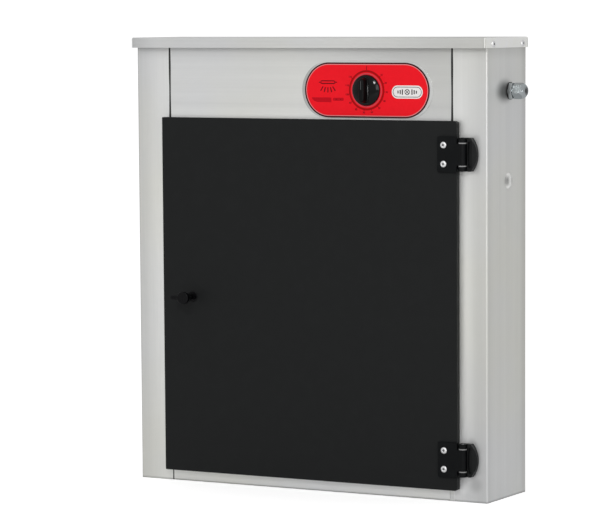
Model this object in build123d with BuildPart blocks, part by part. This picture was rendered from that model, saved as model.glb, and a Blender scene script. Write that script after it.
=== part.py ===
"""Wall-standing ultraviolet knife sterilizer cabinet, as an assembly of separate pieces.

The origin is the middle of the base's underside. +X is to the right as the door is faced, +Y to the
back and +Z up. Sizes are in millimetres.
"""

import os

from build123d import *

os.makedirs("parts", exist_ok=True)

# Case, folded from steel sheet
case_width = 560
case_depth = 124
case_height = 640
sheet = 1.2
bend_radius = 2
side_strip = 54.5
rear_return = 18
opening_lip = 11
opening_bottom = 36
fascia_height = 140
fascia_lip = 24
fascia_top_lip = 12
floor_flange = 12
seat_gap = 0.2

# Lid, a cap with turned-down flanges
lid_flange = 14.5
lid_front_overhang = 11.6
lid_side_overhang = 2
lid_back_overhang = 2
lid_corner_slit = 0.8
lid_rivet_inset = 15
lid_rivet_drop = 9

# Wall fixing holes in the back
wall_hole_radius = 4
wall_hole_spacing_x = 400
wall_hole_low = 90
wall_hole_rise = 340

# Door pane and its seal
door_thickness = 6
door_cover_left = 7.7
door_cover_right = 12.9
door_cover_bottom = 19.8
door_cover_top = 26.4
door_corner_free = 1.5
door_corner_hinged = 4
seal_thickness = 3.7
seal_gap = 0.3
seal_width = 6.5
seal_inset = 1

# Hinges
hinge_height = 49
hinge_frame_height = 46
hinge_drop = 45.7
hinge_rise = 43
hinge_axis_out = 8.3
barrel_radius = 5.5
hinge_pin_radius = 2.5
hinge_running_gap = 0.05
hinge_middle_barrel = 29.8
hinge_barrel_gap = 1.6
hinge_door_leaf = 36.7
hinge_door_leaf_thickness = 4
hinge_frame_leaf = 12
hinge_frame_bulge = 8
hinge_frame_base = 3
hinge_cover_edge = 1
hinge_cover_flat = 7.6
hinge_cover_rim = 0.8
hinge_cover_pocket = 36
hinge_cover_pocket_depth = 2.6
hinge_cover_cavity = 2.4
hinge_washer_gap = 0.05
hinge_plate_gap = 1.4
hinge_rivet_spacing = 26
hinge_rivet_from_axis = 26.7
hinge_screw_spacing = 24
hinge_screw_from_axis = 11.5
hinge_screw_radius = 1.9
hinge_screw_end = 4

# Small pan-head screws inside and in the hinges
screw_head = 3.4
screw_head_height = 1.8

# Blind rivets: radii of shank, head and tail, and heights of head and tail
rivet_shank = 2.4
rivet_head = 4.7
rivet_head_height = 1.8
rivet_tail = 3.6
rivet_tail_height = 2

# Control plate, label and timer
label_length = 195.5
label_height = 76.5
label_thickness = 0.6
plate_length = 205
plate_height = 77.5
plate_thickness = 1
control_x = 95
control_from_top = 72.9
timer_width = 48
timer_depth = 34
timer_drum_radius = 20
timer_drum_depth = 6
timer_corner = 4
timer_screw_radius = 1.5
timer_screw_spacing = 28
timer_screw_head = 3
timer_screw_head_height = 1.6
spindle_radius = 3
spindle_flat = 0.9
spindle_hole = 5
spindle_depth = 18
turning_gap = 0.05
knob_radius = 21.5
knob_skirt = 4.5
knob_height = 17
knob_grip_width = 9.5
knob_gap = 0.6
knob_recess_radius = 19
knob_recess_depth = 2.4
knob_hub_radius = 6
knob_bore_depth = 12
knob_skirt_taper = 6
knob_grip_taper = 5
knob_grip_inset = 2.5
knob_skirt_edge = 1.2
knob_grip_edge = 1.4

# Turn latch
latch_from_seam = 40.8
latch_from_door_bottom = 253.4
latch_hole_radius = 6
latch_rosette_radius = 7.5
latch_rosette_height = 1.5
latch_spindle_radius = 3
latch_neck_radius = 4.2
latch_head_radius = 9
latch_reach = 29
latch_head_depth = 4
latch_lever_length = 20
latch_lever_height = 5
latch_lever_depth = 8
latch_lever_set = 0.8
latch_head_edge = 1.1
latch_lever_end = 1.5
latch_grip_depth = 14
latch_nut_across = 17
latch_nut_height = 3.2
latch_cam_catch = 6.2
latch_cam_width = 16
latch_cam_thickness = 2
latch_cam_gap = 1.5
latch_square = 4.4
latch_screw_radius = 1.9
latch_screw_length = 8
latch_screw_head = 4
latch_screw_head_height = 2.2

# Door switch
switch_x = -150
switch_width = 28
switch_height = 15
switch_depth = 14
switch_plunger_radius = 2
switch_collar_radius = 3.2
switch_collar_height = 1.5
switch_travel = 3
switch_wall = 1.5
switch_gap = 0.3
switch_screw_spacing = 20
switch_screw_radius = 1.2
switch_screw_head = 2.4
switch_screw_head_height = 1.4

# Cable gland
gland_from_front = 72
gland_from_top = 74
gland_thread_radius = 8
gland_across = 22
gland_hex_height = 5
gland_cap_across = 20
gland_cap_height = 17
gland_neck_height = 1.4
gland_cap_wall = 1.9
gland_seal_flange = 1.5
gland_washer_radius = 12
gland_washer_thickness = 1.5
gland_tail = 10
gland_bore_radius = 4.5
gland_insert_radius = 3.2
gland_locknut_height = 3.5

# Round plug
plug_from_front = 66.3
plug_from_top = 197.8
plug_radius = 11
plug_dome = 3
plug_hole_radius = 9
plug_wall = 1.5
plug_depth = 6
plug_slope = 50
plug_crown = 5

# Lamp
lamp_radius = 13
lamp_length = 437
lamp_cap_length = 20
lamp_cap_wall = 0.6
lamp_glass_wall = 1
lamp_pin_radius = 1.2
lamp_pin_length = 7
lamp_pin_spacing = 12.7
lamp_from_back = 26
lamp_drop = 30
holder_thickness = 14
holder_width = 26
holder_below_axis = 15
holder_screw_radius = 1.9
holder_screw_spacing = 14
holder_screw_depth = 9
wire_hole_radius = 4
wire_hole_ahead = 12
reflector_width = 50
reflector_flat = 24
reflector_drop = 12
reflector_length = 380

# Knife rack and its arms
rack_height = 345
rack_side_gap = 58.8
rack_depth = 46
rack_front = -40
rack_lip = 14
rack_slot_count = 12
rack_slot_pitch = 34
rack_slot_width = 6
rack_slot_length = 34
arm_side_gap = 72.8
arm_thickness = 2
arm_height = 26
arm_flange = 16
arm_flange_height = 44
arm_flange_rise = 9
arm_notch = 16
arm_nose_radius = 10

# Electrical pieces on the equipment floor
ballast_length = 150
ballast_width = 41
ballast_height = 28
ballast_edge = 3
ballast_x = -110
ballast_y = -15
ballast_foot = 12
ballast_foot_thickness = 1.5
starter_x = 5
starter_y = 30
starter_radius = 10.7
starter_height = 34
starter_base_size = 28
starter_base_height = 12
starter_base_corner = 3
starter_edge = 2
terminal_x = 160
terminal_y = -5
terminal_length = 54
terminal_width = 20
terminal_height = 18
terminal_ways = 5
earth_x = 215
earth_y = -12
earth_radius = 2
earth_height = 16
earth_head_height = 2.5
wire_radius = 1.1
wire_rise = 8
wire_above_lamp = 12
wire_bend = 5

# Planes and edges that several pieces share
half_width = case_width / 2
inner_x = half_width - sheet
bend_inside = bend_radius - sheet
front = -case_depth / 2
rear = case_depth / 2
inner_front = front + sheet
back_face = rear - 2 * sheet
body_top = case_height - sheet
seam = half_width - side_strip
opening_top = case_height - fascia_height
floor_bottom = opening_top + sheet
floor_top = floor_bottom + sheet
lip_end = front + opening_lip
door_back = front - seal_gap - seal_thickness
door_front = door_back - door_thickness
door_left = -seam - door_cover_left
door_right = seam + door_cover_right
door_bottom = opening_bottom - door_cover_bottom
door_top = opening_top + door_cover_top
axis_x = door_right + hinge_axis_out
axis_y = door_front - hinge_door_leaf_thickness - 0.5 + barrel_radius
hinge_zs = {"upper": door_top - hinge_drop, "lower": door_bottom + hinge_rise}
screw_x = axis_x + hinge_screw_from_axis
frame_screws_at = [
    (screw_x, z + side * hinge_screw_spacing / 2) for z in hinge_zs.values() for side in (-1, 1)
]
control_z = case_height - control_from_top
label_face = front - plate_thickness - label_thickness
latch_x = -seam + latch_from_seam
latch_z = door_bottom + latch_from_door_bottom
gland_y = front + gland_from_front
gland_z = case_height - gland_from_top
plug_y = front + plug_from_front
plug_z = case_height - plug_from_top
lid_rivet_z = case_height - lid_rivet_drop
switch_z = floor_top + switch_height / 2
switch_top = floor_top + switch_height
switch_screws_at = [(switch_x + side * switch_screw_spacing / 2, switch_z) for side in (-1, 1)]
rack_length = 2 * (inner_x - rack_side_gap)
arm_x = inner_x - arm_side_gap
arm_top = rack_height - sheet - seat_gap
arm_rivet_x = arm_x - arm_flange / 2 - arm_thickness / 2
arm_rivets_at = [(side * arm_rivet_x, z) for side in (-1, 1) for z in (arm_top - arm_height, arm_top)]
holder_x = lamp_length / 2 + seat_gap + holder_thickness / 2
lamp_y = back_face - lamp_from_back
lamp_z = floor_bottom - lamp_drop
wire_holes_at = [(side * holder_x, lamp_y - holder_width / 2 - wire_hole_ahead) for side in (-1, 1)]
holder_screws_at = [
    (side * holder_x, lamp_y + near * holder_screw_spacing / 2) for side in (-1, 1) for near in (-1, 1)
]
ballast_screws_at = [
    (ballast_x + side * (ballast_length + ballast_foot) / 2, ballast_y) for side in (-1, 1)
]


def front_plane(y):
    """Plane at depth y that faces out of the front: its x is X and its y is Z."""
    return Plane.XZ.offset(-y)


def side_plane(x):
    """Plane at x that faces out of the right side: its x is Y and its y is Z."""
    return Plane.YZ.offset(x)


def block(x, y, z, mode=Mode.ADD):
    """Adds a box between the pairs of limits x, y and z."""
    with Locations(((x[0] + x[1]) / 2, (y[0] + y[1]) / 2, (z[0] + z[1]) / 2)):
        Box(x[1] - x[0], y[1] - y[0], z[1] - z[0], mode=mode)


def folded_section(*points):
    """Draws a sheet that is bent along the points, its thickness to the left of them."""
    with BuildLine() as outline:
        FilletPolyline(*points, radius=bend_radius)
        offset(amount=sheet, side=Side.LEFT)
    make_face(outline.edges())


def drill(plane, centres, radius, depth):
    """Cuts round holes into the part, from the plane against its normal."""
    with BuildSketch(plane) as holes:
        with Locations(*centres):
            Circle(radius)
    extrude(holes.sketch, amount=-depth, mode=Mode.SUBTRACT)


def save(piece, name):
    """Labels a finished piece and writes it."""
    piece.part.label = name
    export_step(piece.part, f"parts/{name}.step")


def blind_rivet(grip, shank=rivet_shank, head=rivet_head, tail=rivet_tail):
    """A blind rivet along +Z: the head sits on z = 0 and the tail closes below the grip."""
    with BuildPart() as rivet:
        with BuildSketch(Plane.XZ):
            with BuildLine():
                Line((0, 0), (head, 0))
                ThreePointArc((head, 0), (0.62 * head, 0.72 * rivet_head_height), (0, rivet_head_height))
                Line((0, rivet_head_height), (0, 0))
            make_face()
        revolve(axis=Axis.Z)
        with Locations((0, 0, rivet_head_height)):
            Cylinder(0.27 * head, rivet_head_height, mode=Mode.SUBTRACT)
        with Locations((0, 0, -grip / 2)):
            Cylinder(shank, grip)
        with Locations((0, 0, -grip - rivet_tail_height / 2)):
            Cylinder(tail, rivet_tail_height)
        fillet(rivet.edges().group_by(Axis.Z)[0], 0.4 * rivet_tail_height)
    return rivet.part


def pan_screw(length, radius, head, head_height):
    """A screw along +Z: the head sits on z = 0 and the shank goes down by the length."""
    with BuildPart() as screw:
        with Locations((0, 0, head_height / 2)):
            Cylinder(head, head_height)
        fillet(screw.edges().group_by(Axis.Z)[-1], 0.45 * head_height)
        with Locations((0, 0, head_height)):
            Box(1.5 * head, 0.28 * head, head_height, mode=Mode.SUBTRACT)
            Box(0.28 * head, 1.5 * head, head_height, mode=Mode.SUBTRACT)
        with Locations((0, 0, -length / 2)):
            Cylinder(radius, length)
    return screw.part


def hex_nut(across, height, bore):
    """A hexagon ring that stands on z = 0, with a round bore."""
    with BuildPart() as nut:
        with BuildSketch():
            RegularPolygon(across / 2, 6, major_radius=False)
            Circle(bore, mode=Mode.SUBTRACT)
        extrude(amount=height)
    return nut.part


# Sides: each sheet turns round to the front, back into the opening, and round behind the back
def side_sheet():
    """The right side, without the holes that only one side has."""
    rivet_ys = (front + lid_rivet_inset, rear - lid_rivet_inset)
    with BuildPart() as piece:
        with BuildSketch():
            folded_section(
                (seam, lip_end),
                (seam, front),
                (half_width, front),
                (half_width, rear),
                (half_width - rear_return, rear),
            )
        extrude(amount=body_top)
        drill(side_plane(half_width), [(y, lid_rivet_z) for y in rivet_ys], rivet_shank, 2 * sheet)
    return piece.part


with BuildPart() as side_left:
    add(mirror(side_sheet(), about=Plane.YZ))
save(side_left, "side_left")

with BuildPart() as side_right:
    add(side_sheet())
    drill(side_plane(half_width), [(gland_y, gland_z)], gland_thread_radius, 2 * sheet)
    drill(side_plane(half_width), [(plug_y, plug_z)], plug_hole_radius, 2 * sheet)
    drill(front_plane(front), frame_screws_at, hinge_screw_radius, 2 * sheet)
save(side_right, "side_right")

# Base: the floor of the chamber, turned up at the front as the strip below the door
with BuildPart() as base_panel:
    with BuildSketch(side_plane(-seam)):
        folded_section((lip_end, opening_bottom), (front, opening_bottom), (front, 0), (rear - sheet, 0))
    extrude(amount=2 * seam)
    for hand in (-1, 1):
        beside_lip = sorted((hand * seam, hand * (seam + sheet)))
        to_side = sorted((hand * (seam + sheet), hand * inner_x))
        block(beside_lip, (lip_end, rear - sheet - bend_inside), (0, sheet))
        block(to_side, (inner_front + bend_inside, rear - sheet - bend_inside), (0, sheet))
save(base_panel, "base_panel")

# Back: lies against the sides' rear returns, with four holes for wall screws
with BuildPart() as back_panel:
    block((bend_inside - inner_x, inner_x - bend_inside), (back_face, rear - sheet), (sheet, body_top))
    wall_hole_x = wall_hole_spacing_x / 2
    wall_hole_high = wall_hole_low + wall_hole_rise
    wall_holes = [(x, z) for x in (-wall_hole_x, wall_hole_x) for z in (wall_hole_low, wall_hole_high)]
    drill(front_plane(back_face), wall_holes, wall_hole_radius, 2 * sheet)
    drill(front_plane(back_face), arm_rivets_at, rivet_shank, 2 * sheet)
save(back_panel, "back_panel")

# Control fascia: between the strips, from the lid down to the opening
timer_screws_at = [(control_x + side * timer_screw_spacing / 2, control_z) for side in (-1, 1)]
with BuildPart() as front_fascia:
    with BuildSketch(side_plane(-seam)):
        folded_section(
            (front + fascia_top_lip, body_top),
            (front, body_top),
            (front, opening_top),
            (front + fascia_lip, opening_top),
        )
    extrude(amount=2 * seam)
    drill(front_plane(front), [(control_x, control_z)], spindle_hole, 2 * sheet)
    drill(front_plane(front), timer_screws_at, timer_screw_radius, 2 * sheet)
    drill(front_plane(front), [(switch_x, switch_z)], switch_plunger_radius + switch_gap, 2 * sheet)
    drill(front_plane(front), switch_screws_at, switch_screw_radius, 2 * sheet)
save(front_fascia, "front_fascia")

# Equipment floor: rests on the fascia's lip and parts the chamber from the electrical pieces
with BuildPart() as equipment_floor:
    with BuildSketch(Plane.XZ.offset(-lip_end - seat_gap)):
        folded_section(
            (-inner_x, floor_bottom + floor_flange),
            (-inner_x, floor_bottom),
            (inner_x, floor_bottom),
            (inner_x, floor_bottom + floor_flange),
        )
    extrude(amount=-(back_face - lip_end - seat_gap))
    drill(Plane.XY.offset(floor_top), wire_holes_at, wire_hole_radius, 2 * sheet)
    drill(Plane.XY.offset(floor_top), holder_screws_at + ballast_screws_at, holder_screw_radius, 2 * sheet)
    drill(Plane.XY.offset(floor_top), [(earth_x, earth_y)], earth_radius, 2 * sheet)
save(equipment_floor, "equipment_floor")

# Lid: a cap over the case, open at the corners where its flanges meet
lid_x = half_width + lid_side_overhang
lid_front = front - lid_front_overhang
lid_back = rear + lid_back_overhang
lid_bottom = case_height - lid_flange
lid_rivets_at = [front + lid_rivet_inset, rear - lid_rivet_inset]
with BuildPart() as lid:
    block((-lid_x, lid_x), (lid_front, lid_back), (lid_bottom, case_height))
    fillet(lid.edges().group_by(Axis.Z)[-1], bend_radius)
    offset(amount=-sheet, openings=lid.faces().sort_by(Axis.Z)[0])
    slit = lid_corner_slit
    for hand in (-1, 1):
        flange = sorted((hand * (lid_x - 1.5 * sheet), hand * (lid_x + sheet)))
        slit_z = (lid_bottom - sheet, case_height - bend_radius - sheet)
        block(flange, (lid_front + sheet, lid_front + sheet + slit), slit_z, Mode.SUBTRACT)
        block(flange, (lid_back - sheet - slit, lid_back - sheet), slit_z, Mode.SUBTRACT)
    drill(side_plane(lid_x), [(y, lid_rivet_z) for y in lid_rivets_at], rivet_shank, 2 * lid_x)
save(lid, "lid")

with BuildPart() as lid_rivets:
    rivet_grip = lid_side_overhang + sheet
    for hand in (-1, 1):
        for y in lid_rivets_at:
            with Locations(Plane(origin=(hand * lid_x, y, lid_rivet_z), z_dir=(hand, 0, 0))):
                add(blind_rivet(rivet_grip))
save(lid_rivets, "lid_rivets")

# Control plate and the label on it
with BuildPart() as control_plate:
    with BuildSketch(front_plane(front)):
        with Locations((control_x, control_z)):
            SlotOverall(plate_length, plate_height)
    extrude(amount=plate_thickness)
    drill(front_plane(front - plate_thickness), [(control_x, control_z)], spindle_hole, 2 * plate_thickness)
    drill(front_plane(front - plate_thickness), timer_screws_at, timer_screw_radius, 2 * plate_thickness)
save(control_plate, "control_plate")

with BuildPart() as control_label:
    with BuildSketch(front_plane(front - plate_thickness)):
        with Locations((control_x, control_z)):
            SlotOverall(label_length, label_height)
            Circle(knob_recess_radius, mode=Mode.SUBTRACT)
    extrude(amount=label_thickness)
save(control_label, "control_label")


# Timer: clockwork body behind the fascia, spindle, knob and two screws
def flatted_shaft(radius, flat):
    """Draws a round shaft's section with one flat at its top."""
    Circle(radius)
    with Locations((0, radius)):
        Rectangle(2 * radius, 2 * flat, mode=Mode.SUBTRACT)


timer_back = inner_front + timer_depth
knob_back = label_face - knob_gap
with BuildPart() as timer_body:
    half = timer_width / 2
    timer_z = (control_z - half, control_z + half)
    block((control_x - half, control_x + half), (inner_front, timer_back), timer_z)
    fillet(timer_body.edges().filter_by(Axis.Y), timer_corner)
    with BuildSketch(front_plane(timer_back)):
        with Locations((control_x, control_z)):
            Circle(timer_drum_radius)
    extrude(amount=-timer_drum_depth)
    drill(front_plane(inner_front), [(control_x, control_z)], spindle_radius + turning_gap, spindle_depth + 1)
    drill(front_plane(inner_front), timer_screws_at, timer_screw_radius, 8)
save(timer_body, "timer_body")

with BuildPart() as timer_screws:
    screw_length = plate_thickness + sheet + 6
    for x, z in timer_screws_at:
        with Locations(Plane(origin=(x, front - plate_thickness, z), z_dir=(0, -1, 0))):
            add(pan_screw(screw_length, timer_screw_radius, timer_screw_head, timer_screw_head_height))
save(timer_screws, "timer_screws")

with BuildPart() as timer_spindle:
    with BuildSketch(front_plane(inner_front + spindle_depth)):
        with Locations((control_x, control_z)):
            Circle(spindle_radius)
    extrude(amount=inner_front + spindle_depth - knob_back)
    with BuildSketch(front_plane(knob_back)):
        with Locations((control_x, control_z)):
            flatted_shaft(spindle_radius, spindle_flat)
    extrude(amount=knob_bore_depth - seat_gap)
save(timer_spindle, "timer_spindle")

with BuildPart() as timer_knob:
    with BuildSketch(front_plane(knob_back)):
        with Locations((control_x, control_z)):
            Circle(knob_radius)
    extrude(amount=knob_skirt, taper=knob_skirt_taper)
    fillet(timer_knob.edges().sort_by(Axis.Y)[0], knob_skirt_edge)
    with BuildSketch(front_plane(knob_back - knob_skirt)):
        with Locations((control_x, control_z)):
            SlotOverall(2 * (knob_radius - knob_grip_inset), knob_grip_width, rotation=90)
    extrude(amount=knob_height - knob_skirt, taper=knob_grip_taper)
    fillet(timer_knob.edges().group_by(Axis.Y)[0], knob_grip_edge)
    with BuildSketch(front_plane(knob_back)):
        with Locations((control_x, control_z)):
            Circle(knob_recess_radius)
            Circle(knob_hub_radius, mode=Mode.SUBTRACT)
    extrude(amount=knob_recess_depth, mode=Mode.SUBTRACT)
    with BuildSketch(front_plane(knob_back)):
        with Locations((control_x, control_z)):
            flatted_shaft(spindle_radius, spindle_flat)
    extrude(amount=knob_bore_depth, mode=Mode.SUBTRACT)
save(timer_knob, "timer_knob")

# Door: tinted pane with a seal round the edge of its back
door_rivets_at = [
    (axis_x - hinge_rivet_from_axis, z + side * hinge_rivet_spacing / 2)
    for z in hinge_zs.values()
    for side in (-1, 1)
]
with BuildPart() as door_pane:
    block((door_left, door_right), (door_front, door_back), (door_bottom, door_top))
    upright_edges = door_pane.edges().filter_by(Axis.Y).group_by(Axis.X)
    fillet(upright_edges[0], door_corner_free)
    fillet(door_pane.edges().filter_by(Axis.Y).group_by(Axis.X)[-1], door_corner_hinged)
    drill(front_plane(door_front), door_rivets_at, rivet_shank, 2 * door_thickness)
    drill(front_plane(door_front), [(latch_x, latch_z)], latch_hole_radius, 2 * door_thickness)
save(door_pane, "door_pane")

with BuildPart() as door_seal:
    x0, x1 = door_left + seal_inset, door_right - seal_inset
    z0, z1 = door_bottom + seal_inset, door_top - seal_inset
    with BuildSketch(front_plane(door_back + seal_thickness)):
        with Locations(((x0 + x1) / 2, (z0 + z1) / 2)):
            RectangleRounded(x1 - x0, z1 - z0, door_corner_free)
            Rectangle(x1 - x0 - 2 * seal_width, z1 - z0 - 2 * seal_width, mode=Mode.SUBTRACT)
    extrude(amount=seal_thickness)
save(door_seal, "door_seal")

# Hinges: a door leaf with the middle barrel, and a frame leaf with the end barrels under a cover
half_height = hinge_height / 2
half_frame = hinge_frame_height / 2
half_middle = hinge_middle_barrel / 2
leaf_front = door_front - hinge_door_leaf_thickness
corner_x = axis_x + hinge_frame_leaf
edge_x = corner_x + hinge_frame_bulge
base_left = axis_x - barrel_radius
base_front = front - hinge_frame_base
cover_left = axis_x + barrel_radius + hinge_plate_gap
cover_front = axis_y
slope_start = cover_left + hinge_cover_flat
pocket_right = slope_start - hinge_cover_rim
pocket_left = cover_left + 2


def frame_outline(z, left):
    """Draws the frame leaf's outline: straight to its corners, then bulging to the right."""
    high, low = z + half_frame, z - half_frame
    with BuildLine() as outline:
        Polyline((corner_x, high), (left, high), (left, low), (corner_x, low))
        ThreePointArc((corner_x, low), (edge_x, z), (corner_x, high))
    make_face(outline.edges())


def barrel(z_low, z_high, radius=barrel_radius, mode=Mode.ADD):
    """Adds a hinge barrel round the axis, or cuts the pin's bore along it."""
    with BuildSketch(Plane.XY.offset(z_low)) as section:
        with Locations((axis_x, axis_y)):
            Circle(radius)
    extrude(section.sketch, amount=z_high - z_low, mode=mode)


for name, z in hinge_zs.items():
    low, high = z - half_height, z + half_height
    frame_low, frame_high = z - half_frame, z + half_frame
    with BuildPart() as door_leaf:
        leaf_x = (axis_x - hinge_door_leaf, base_left - hinge_plate_gap)
        block(leaf_x, (leaf_front, door_front), (low, high))
        fillet(door_leaf.edges().filter_by(Axis.Y).group_by(Axis.X)[0], 2)
        fillet(door_leaf.edges().group_by(Axis.Y)[0], 0.8)
        block((base_left - 3, axis_x), (leaf_front, door_front), (z - half_middle, z + half_middle))
        barrel(z - half_middle, z + half_middle)
        barrel(low, high, hinge_pin_radius + hinge_running_gap, Mode.SUBTRACT)
        rivet_x = axis_x - hinge_rivet_from_axis
        rivets_here = [(rivet_x, z + side * hinge_rivet_spacing / 2) for side in (-1, 1)]
        drill(front_plane(leaf_front), rivets_here, rivet_shank, 2 * hinge_door_leaf_thickness)
    save(door_leaf, f"hinge_door_leaf_{name}")

    with BuildPart() as frame_leaf:
        with BuildSketch(front_plane(front)):
            frame_outline(z, base_left)
        extrude(amount=hinge_frame_base)
        washer_space = half_middle + hinge_barrel_gap
        for z_low, z_high in ((frame_low, z - washer_space), (z + washer_space, frame_high)):
            block((base_left, axis_x + barrel_radius), (axis_y, base_front + 0.1), (z_low, z_high))
            barrel(z_low, z_high)
        barrel(low, high, hinge_pin_radius, Mode.SUBTRACT)
        screws_here = [(screw_x, z + side * hinge_screw_spacing / 2) for side in (-1, 1)]
        drill(front_plane(base_front), screws_here, hinge_screw_radius, 2 * hinge_frame_base)
    save(frame_leaf, f"hinge_frame_leaf_{name}")

    with BuildPart() as cover:
        with BuildSketch(front_plane(base_front)):
            frame_outline(z, cover_left)
        extrude(amount=base_front - cover_front)
        with BuildSketch(Plane.XY.offset(low)):
            with BuildLine():
                Polyline(
                    (slope_start, cover_front - 1),
                    (slope_start, cover_front),
                    (edge_x + 1, base_front - hinge_cover_edge),
                    (edge_x + 1, cover_front - 1),
                    close=True,
                )
            make_face()
        extrude(amount=hinge_height, mode=Mode.SUBTRACT)
        with BuildSketch(front_plane(base_front)):
            with Locations((screw_x, z)):
                SlotOverall(hinge_screw_spacing + 9, 8, rotation=90)
        extrude(amount=hinge_cover_cavity, mode=Mode.SUBTRACT)
        with BuildSketch(front_plane(cover_front)):
            with BuildLine():
                low_corner = (pocket_left, z - hinge_cover_pocket / 2)
                high_corner = (pocket_left, z + hinge_cover_pocket / 2)
                right_corners = [(pocket_right, low_corner[1]), (pocket_right, high_corner[1])]
                Polyline(low_corner, *right_corners, high_corner)
                ThreePointArc(high_corner, (cover_left + hinge_cover_rim, z), low_corner)
            make_face()
        extrude(amount=-hinge_cover_pocket_depth, mode=Mode.SUBTRACT)
    save(cover, f"hinge_cover_{name}")

    with BuildPart() as pin:
        with BuildSketch(Plane.XY.offset(frame_low + seat_gap)):
            with Locations((axis_x, axis_y)):
                Circle(hinge_pin_radius)
        extrude(amount=hinge_frame_height - 2 * seat_gap)
        chamfer(pin.edges().filter_by(GeomType.CIRCLE), 0.4)
    save(pin, f"hinge_pin_{name}")

with BuildPart() as hinge_washers:
    for z in hinge_zs.values():
        for gap_start in (z - half_middle - hinge_barrel_gap, z + half_middle):
            gap_end = gap_start + hinge_barrel_gap
            barrel(gap_start + hinge_washer_gap, gap_end - hinge_washer_gap)
            barrel(gap_start, gap_end, hinge_pin_radius + hinge_running_gap, Mode.SUBTRACT)
save(hinge_washers, "hinge_washers")

with BuildPart() as hinge_door_rivets:
    for x, z in door_rivets_at:
        with Locations(Plane(origin=(x, leaf_front, z), z_dir=(0, -1, 0))):
            add(blind_rivet(hinge_door_leaf_thickness + door_thickness))
save(hinge_door_rivets, "hinge_door_rivets")

with BuildPart() as hinge_frame_screws:
    for x, z in frame_screws_at:
        with Locations(Plane(origin=(x, base_front, z), z_dir=(0, -1, 0))):
            screw_length = hinge_frame_base + sheet + hinge_screw_end
            add(pan_screw(screw_length, hinge_screw_radius, screw_head, screw_head_height))
save(hinge_frame_screws, "hinge_frame_screws")

# Turn latch: rosette and nut hold the spindle in the pane; knob outside, cam behind the frame's lip
latch_axis = Axis((latch_x, 0, latch_z), (0, 1, 0))
knob_start = door_front - latch_rosette_height - switch_gap
head_front = door_front - latch_reach
head_back = head_front + latch_head_depth
cam_front = lip_end + latch_cam_gap
cam_back = cam_front + latch_cam_thickness
latch_cam_length = latch_from_seam + latch_cam_catch
sleeve_radius = latch_hole_radius - turning_gap


def on_latch(y):
    """Plane across the latch's axis at depth y, with its own origin on the axis."""
    return Plane(origin=(latch_x, y, latch_z), x_dir=(1, 0, 0), z_dir=(0, -1, 0))


with BuildPart() as latch_rosette:
    with BuildSketch(on_latch(door_front)):
        Circle(latch_rosette_radius)
    extrude(amount=latch_rosette_height)
    fillet(latch_rosette.edges().sort_by(Axis.Y)[0], 0.5)
    with BuildSketch(on_latch(door_back + latch_nut_height + 1)):
        Circle(sleeve_radius)
    extrude(amount=door_thickness + latch_nut_height + 1)
    with BuildSketch(on_latch(door_front - latch_rosette_height)):
        Circle(latch_spindle_radius + turning_gap)
    extrude(amount=-2 * latch_reach, mode=Mode.SUBTRACT)
save(latch_rosette, "latch_rosette")

with BuildPart() as latch_nut:
    with Locations(on_latch(door_back + latch_nut_height)):
        add(hex_nut(latch_nut_across, latch_nut_height, latch_hole_radius))
save(latch_nut, "latch_nut")

with BuildPart() as latch_knob:
    with BuildSketch(Plane.XY.offset(latch_z)):
        with BuildLine():
            neck_x = latch_x + latch_neck_radius
            head_x = latch_x + latch_head_radius
            neck_end = knob_start - 2
            flare_x = neck_x + 0.36 * (head_x - neck_x)
            Polyline((latch_x, head_front), (latch_x, knob_start), (neck_x, knob_start), (neck_x, neck_end))
            ThreePointArc((neck_x, neck_end), (flare_x, (neck_end + head_back) / 2), (head_x, head_back))
            Polyline((head_x, head_back), (head_x, head_front), (latch_x, head_front))
        make_face()
    revolve(axis=latch_axis)
    fillet(latch_knob.edges().sort_by(Axis.Y)[0], latch_head_edge)
    lever_x = (latch_x - latch_lever_length, latch_x + 0.4 * latch_head_radius)
    lever_z = (latch_z - latch_lever_height / 2, latch_z + latch_lever_height / 2)
    block(lever_x, (head_front + latch_lever_set, head_front + latch_lever_depth), lever_z)
    fillet(latch_knob.edges().filter_by(Axis.Y).group_by(Axis.X)[0], latch_lever_end)
    with BuildSketch(on_latch(knob_start)):
        Circle(latch_spindle_radius)
    extrude(amount=latch_grip_depth, mode=Mode.SUBTRACT)
save(latch_knob, "latch_knob")

with BuildPart() as latch_spindle:
    with BuildSketch(on_latch(cam_front)):
        Circle(latch_spindle_radius)
    extrude(amount=cam_front - knob_start + latch_grip_depth - seat_gap)
    with BuildSketch(on_latch(cam_front)):
        Rectangle(latch_square, latch_square)
    extrude(amount=-latch_cam_thickness)
    with BuildSketch(on_latch(cam_back)):
        Circle(latch_screw_radius)
    extrude(amount=latch_screw_length + 1, mode=Mode.SUBTRACT)
save(latch_spindle, "latch_spindle")

with BuildPart() as latch_cam:
    with BuildSketch(on_latch(cam_back)):
        Circle(latch_cam_width / 2)
        with Locations((0, latch_cam_length / 2)):
            Rectangle(latch_cam_width, latch_cam_length)
        fillet(vertices().group_by(Axis.Y)[-1], 2)
        Rectangle(latch_square, latch_square, mode=Mode.SUBTRACT)
    extrude(amount=latch_cam_thickness)
save(latch_cam, "latch_cam")

with BuildPart() as latch_screw:
    with Locations(Plane(origin=(latch_x, cam_back, latch_z), z_dir=(0, 1, 0))):
        add(pan_screw(latch_screw_length, latch_screw_radius, latch_screw_head, latch_screw_head_height))
save(latch_screw, "latch_screw")

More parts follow.
